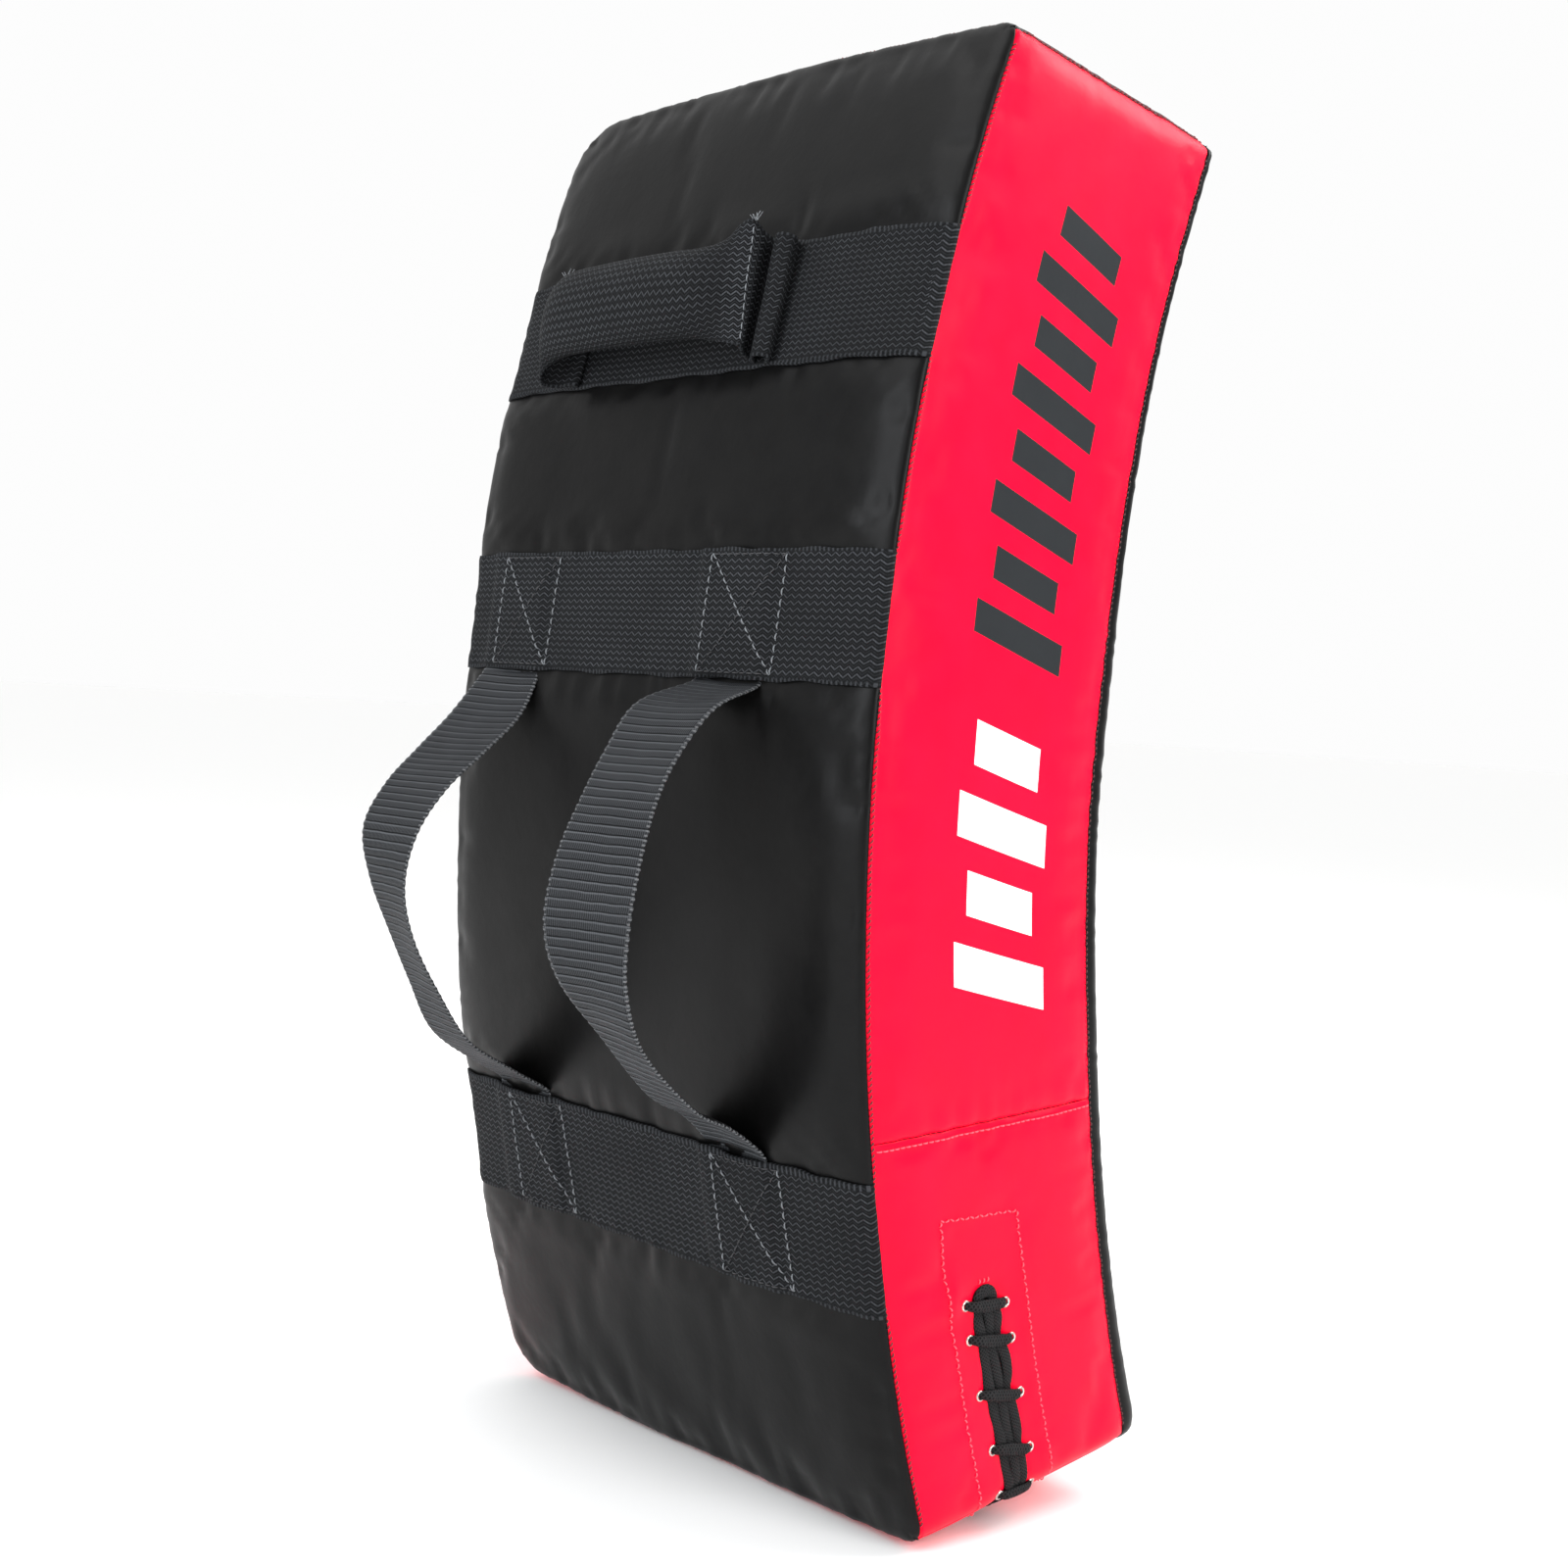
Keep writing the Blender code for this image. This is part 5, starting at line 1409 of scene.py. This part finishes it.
def band_line(band, a, b, n=60):
    t = np.linspace(0, 1, n)
    x, z = a[0] * (1 - t) + b[0] * t, a[1] * (1 - t) + b[1] * t
    return laid_on(STRAPS[band], *on_band(x, z, TAILS[band], 0.0))


def box_cross(band, x0, x1, x2, x3, rising):
    """Two upright rows and two diagonals; the upper corners are x0, x1 and the lower x2, x3. The uprights and one
    diagonal are returned as the lit set, the other diagonal and the rows across as the shaded set: painted light and
    shade on one thread.
    """
    z0, z1 = BANDS[band]
    lo, hi = z0 + 0.0020, z1 - 0.0020
    edges = [band_line(band, (x0, hi), (x2, lo)), band_line(band, (x1, hi), (x3, lo))]
    bright = band_line(band, (x0, hi), (x3, lo)) if rising else band_line(band, (x1, hi), (x2, lo))
    shaded_stitch_lines = band_line(band, (x1, hi), (x2, lo)) if rising else band_line(band, (x0, hi), (x3, lo))
    rows_ = [band_line(band, (x0, hi - 0.001), (x1, hi - 0.001)), band_line(band, (x2, lo + 0.001), (x3, lo + 0.001))]
    return edges + [bright], [shaded_stitch_lines] + rows_


bright, shaded_stitch_lines = [], []
for band, box in (("middle_band", (0.0530, 0.1080, 0.0500, 0.1045)), ("middle_band", (-0.1325, -0.0830, -0.1362, -0.0862)), ("lower_band", (0.0650, 0.1150, 0.0665, 0.1180)), ("lower_band", (-0.1175, -0.0705, -0.1170, -0.0670))):
    e, d_ = box_cross(band, *box, rising=True)
    bright += e
    shaded_stitch_lines += d_
# one box stitch in two thread colours: the grey set is painted light, the dark set painted shade
stitches("loop_end_thread", "shield", GREY_THREAD.mat, "band_webbing", bright, pitch=0.0052, length=0.0038, r=0.00042, lift=0.0002)
stitches("loop_end_thread_painted_shade", "shield", DARK_THREAD.mat, "band_webbing", shaded_stitch_lines, pitch=0.0052, length=0.0038, r=0.00038, lift=0.0002)

# ------------------------------------------------------------------ camera and light
cam = bpy.data.cameras.new("camera")
cam.lens, cam.sensor_width = 51.219, 36.0
cam.clip_start, cam.clip_end = 0.05, 100
eye = bpy.data.objects.new("camera", cam)
right, down, ahead = Vector((0.65553, 0.75277, 0.06016)), Vector((0.066, 0.02225, -0.99757)), Vector((-0.75228, 0.65791, -0.0351))
rot = Matrix((right, -down, -ahead)).transposed().to_4x4()
eye.matrix_world = Matrix.Translation((0.93507, -0.78041, 0.41220)) @ rot
scene.collection.objects.link(eye)
scene.camera = eye


def area(name, where, aim, size, power, colour=(1, 1, 1), spread=180):
    light = bpy.data.lights.new(name, "AREA")
    light.shape, light.size, light.size_y, light.energy, light.color = "RECTANGLE", size[0], size[1], power, colour
    light.spread = math.radians(spread)
    obj = bpy.data.objects.new(name, light)
    obj.location = where
    obj.rotation_euler = (Vector(aim) - Vector(where)).to_track_quat("-Z", "Y").to_euler()
    scene.collection.objects.link(obj)
    return obj


area("side_key", (2.6, 0.0, 1.25), (0.15, 0.0, 0.48), (1.3, 1.8), 52)
area("rear_key", (1.15, 1.9, 2.2), (0.15, 0.05, 0.62), (1.6, 1.2), 62)
area("edge_fill", (0.45, -2.5, 1.2), (0.17, 0.0, 0.50), (0.9, 1.7), 12, (0.93, 0.96, 1.0))
area("edge_strip", (-0.62, -2.35, 1.2), (0.15, 0.0, 0.50), (0.70, 1.7), 30, (0.93, 0.96, 1.0))
area("top_soft", (-0.8, -1.6, 2.6), (0.0, 0.0, 0.60), (1.4, 1.4), 16)
down_light = bpy.data.lights.new("overhead", "SUN")
down_light.energy, down_light.angle = 1.05, math.radians(80)
down = bpy.data.objects.new("overhead", down_light)
scene.collection.objects.link(down)
world = bpy.data.worlds.new("studio")
world.use_nodes = True
wt = world.node_tree
sky = wt.nodes["Background"]
way = wt.nodes.new("ShaderNodeTexCoord")


def sky_math(op, *values):
    n = wt.nodes.new("ShaderNodeMath")
    n.operation = op
    for i, v in enumerate(values):
        if isinstance(v, bpy.types.NodeSocket):
            wt.links.new(v, n.inputs[i])
        else:
            n.inputs[i].default_value = v
    return n.outputs[0]


# a pale studio, brightest on the wall behind the shield
split = wt.nodes.new("ShaderNodeSeparateXYZ")
wt.links.new(way.outputs["Generated"], split.inputs[0])
toward = sky_math("MULTIPLY_ADD", split.outputs["X"], -0.75, sky_math("MULTIPLY", split.outputs["Y"], 0.66))
rise = wt.nodes.new("ShaderNodeMapRange")
rise.interpolation_type = "SMOOTHSTEP"
wt.links.new(toward, rise.inputs[0])
rise.inputs[1].default_value, rise.inputs[2].default_value = -0.25, 0.70
sky.inputs[0].default_value = (1.0, 1.0, 1.0, 1)
level = wt.nodes.new("ShaderNodeMapRange")
level.interpolation_type = "SMOOTHSTEP"
wt.links.new(split.outputs["Z"], level.inputs[0])
level.inputs[1].default_value, level.inputs[2].default_value = 0.0, 0.50
level.inputs[3].default_value, level.inputs[4].default_value = 0.66, 1.0
ahead_ = sky_math("MULTIPLY", sky_math("MULTIPLY_ADD", sky_math("SUBTRACT", 1.0, rise.outputs[0]), -0.42, 0.98), sky_math("MAXIMUM", level.outputs[0], rise.outputs[0]))
wt.links.new(ahead_, sky.inputs[1])
scene.world = world
scene.view_settings.view_transform = "Standard"

floor_mesh = bpy.data.meshes.new("floor")
bm = bmesh.new()
bmesh.ops.create_grid(bm, x_segments=4, y_segments=4, size=40)
bm.to_mesh(floor_mesh)
bm.free()
floor = bpy.data.objects.new("floor", floor_mesh)
floor_mat = Nodes("floor", colour=(0.93, 0.93, 0.925), roughness=0.7)
floor_mat.link("Roughness", floor_mat.span(floor_mat.noise(3.0), 0.3, 0.7, 0.66, 0.74))
floor_mesh.materials.append(floor_mat.mat)
floor.location = (0, 0, min(-0.0005, float(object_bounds()[0][2]) - 0.0002))
scene.collection.objects.link(floor)
floor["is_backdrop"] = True

for node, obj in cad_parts.items():
    kind = "foam" if node.startswith("foam") or node == "grip_handle_foam" else None
    mat = FOAM.mat if kind else LACE_CORD.mat if node == "lace" else NICKEL.mat if node.startswith("eyelet") else LINING.mat if node == "lacing_tongue" else PLAIN_RED.mat if "facing" in node else None
    if mat is None:
        mat = LOOP_WEB.mat if node.startswith("arm_loop") else BAND_WEB.mat
    obj.data.materials.clear()
    obj.data.materials.append(mat)

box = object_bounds()
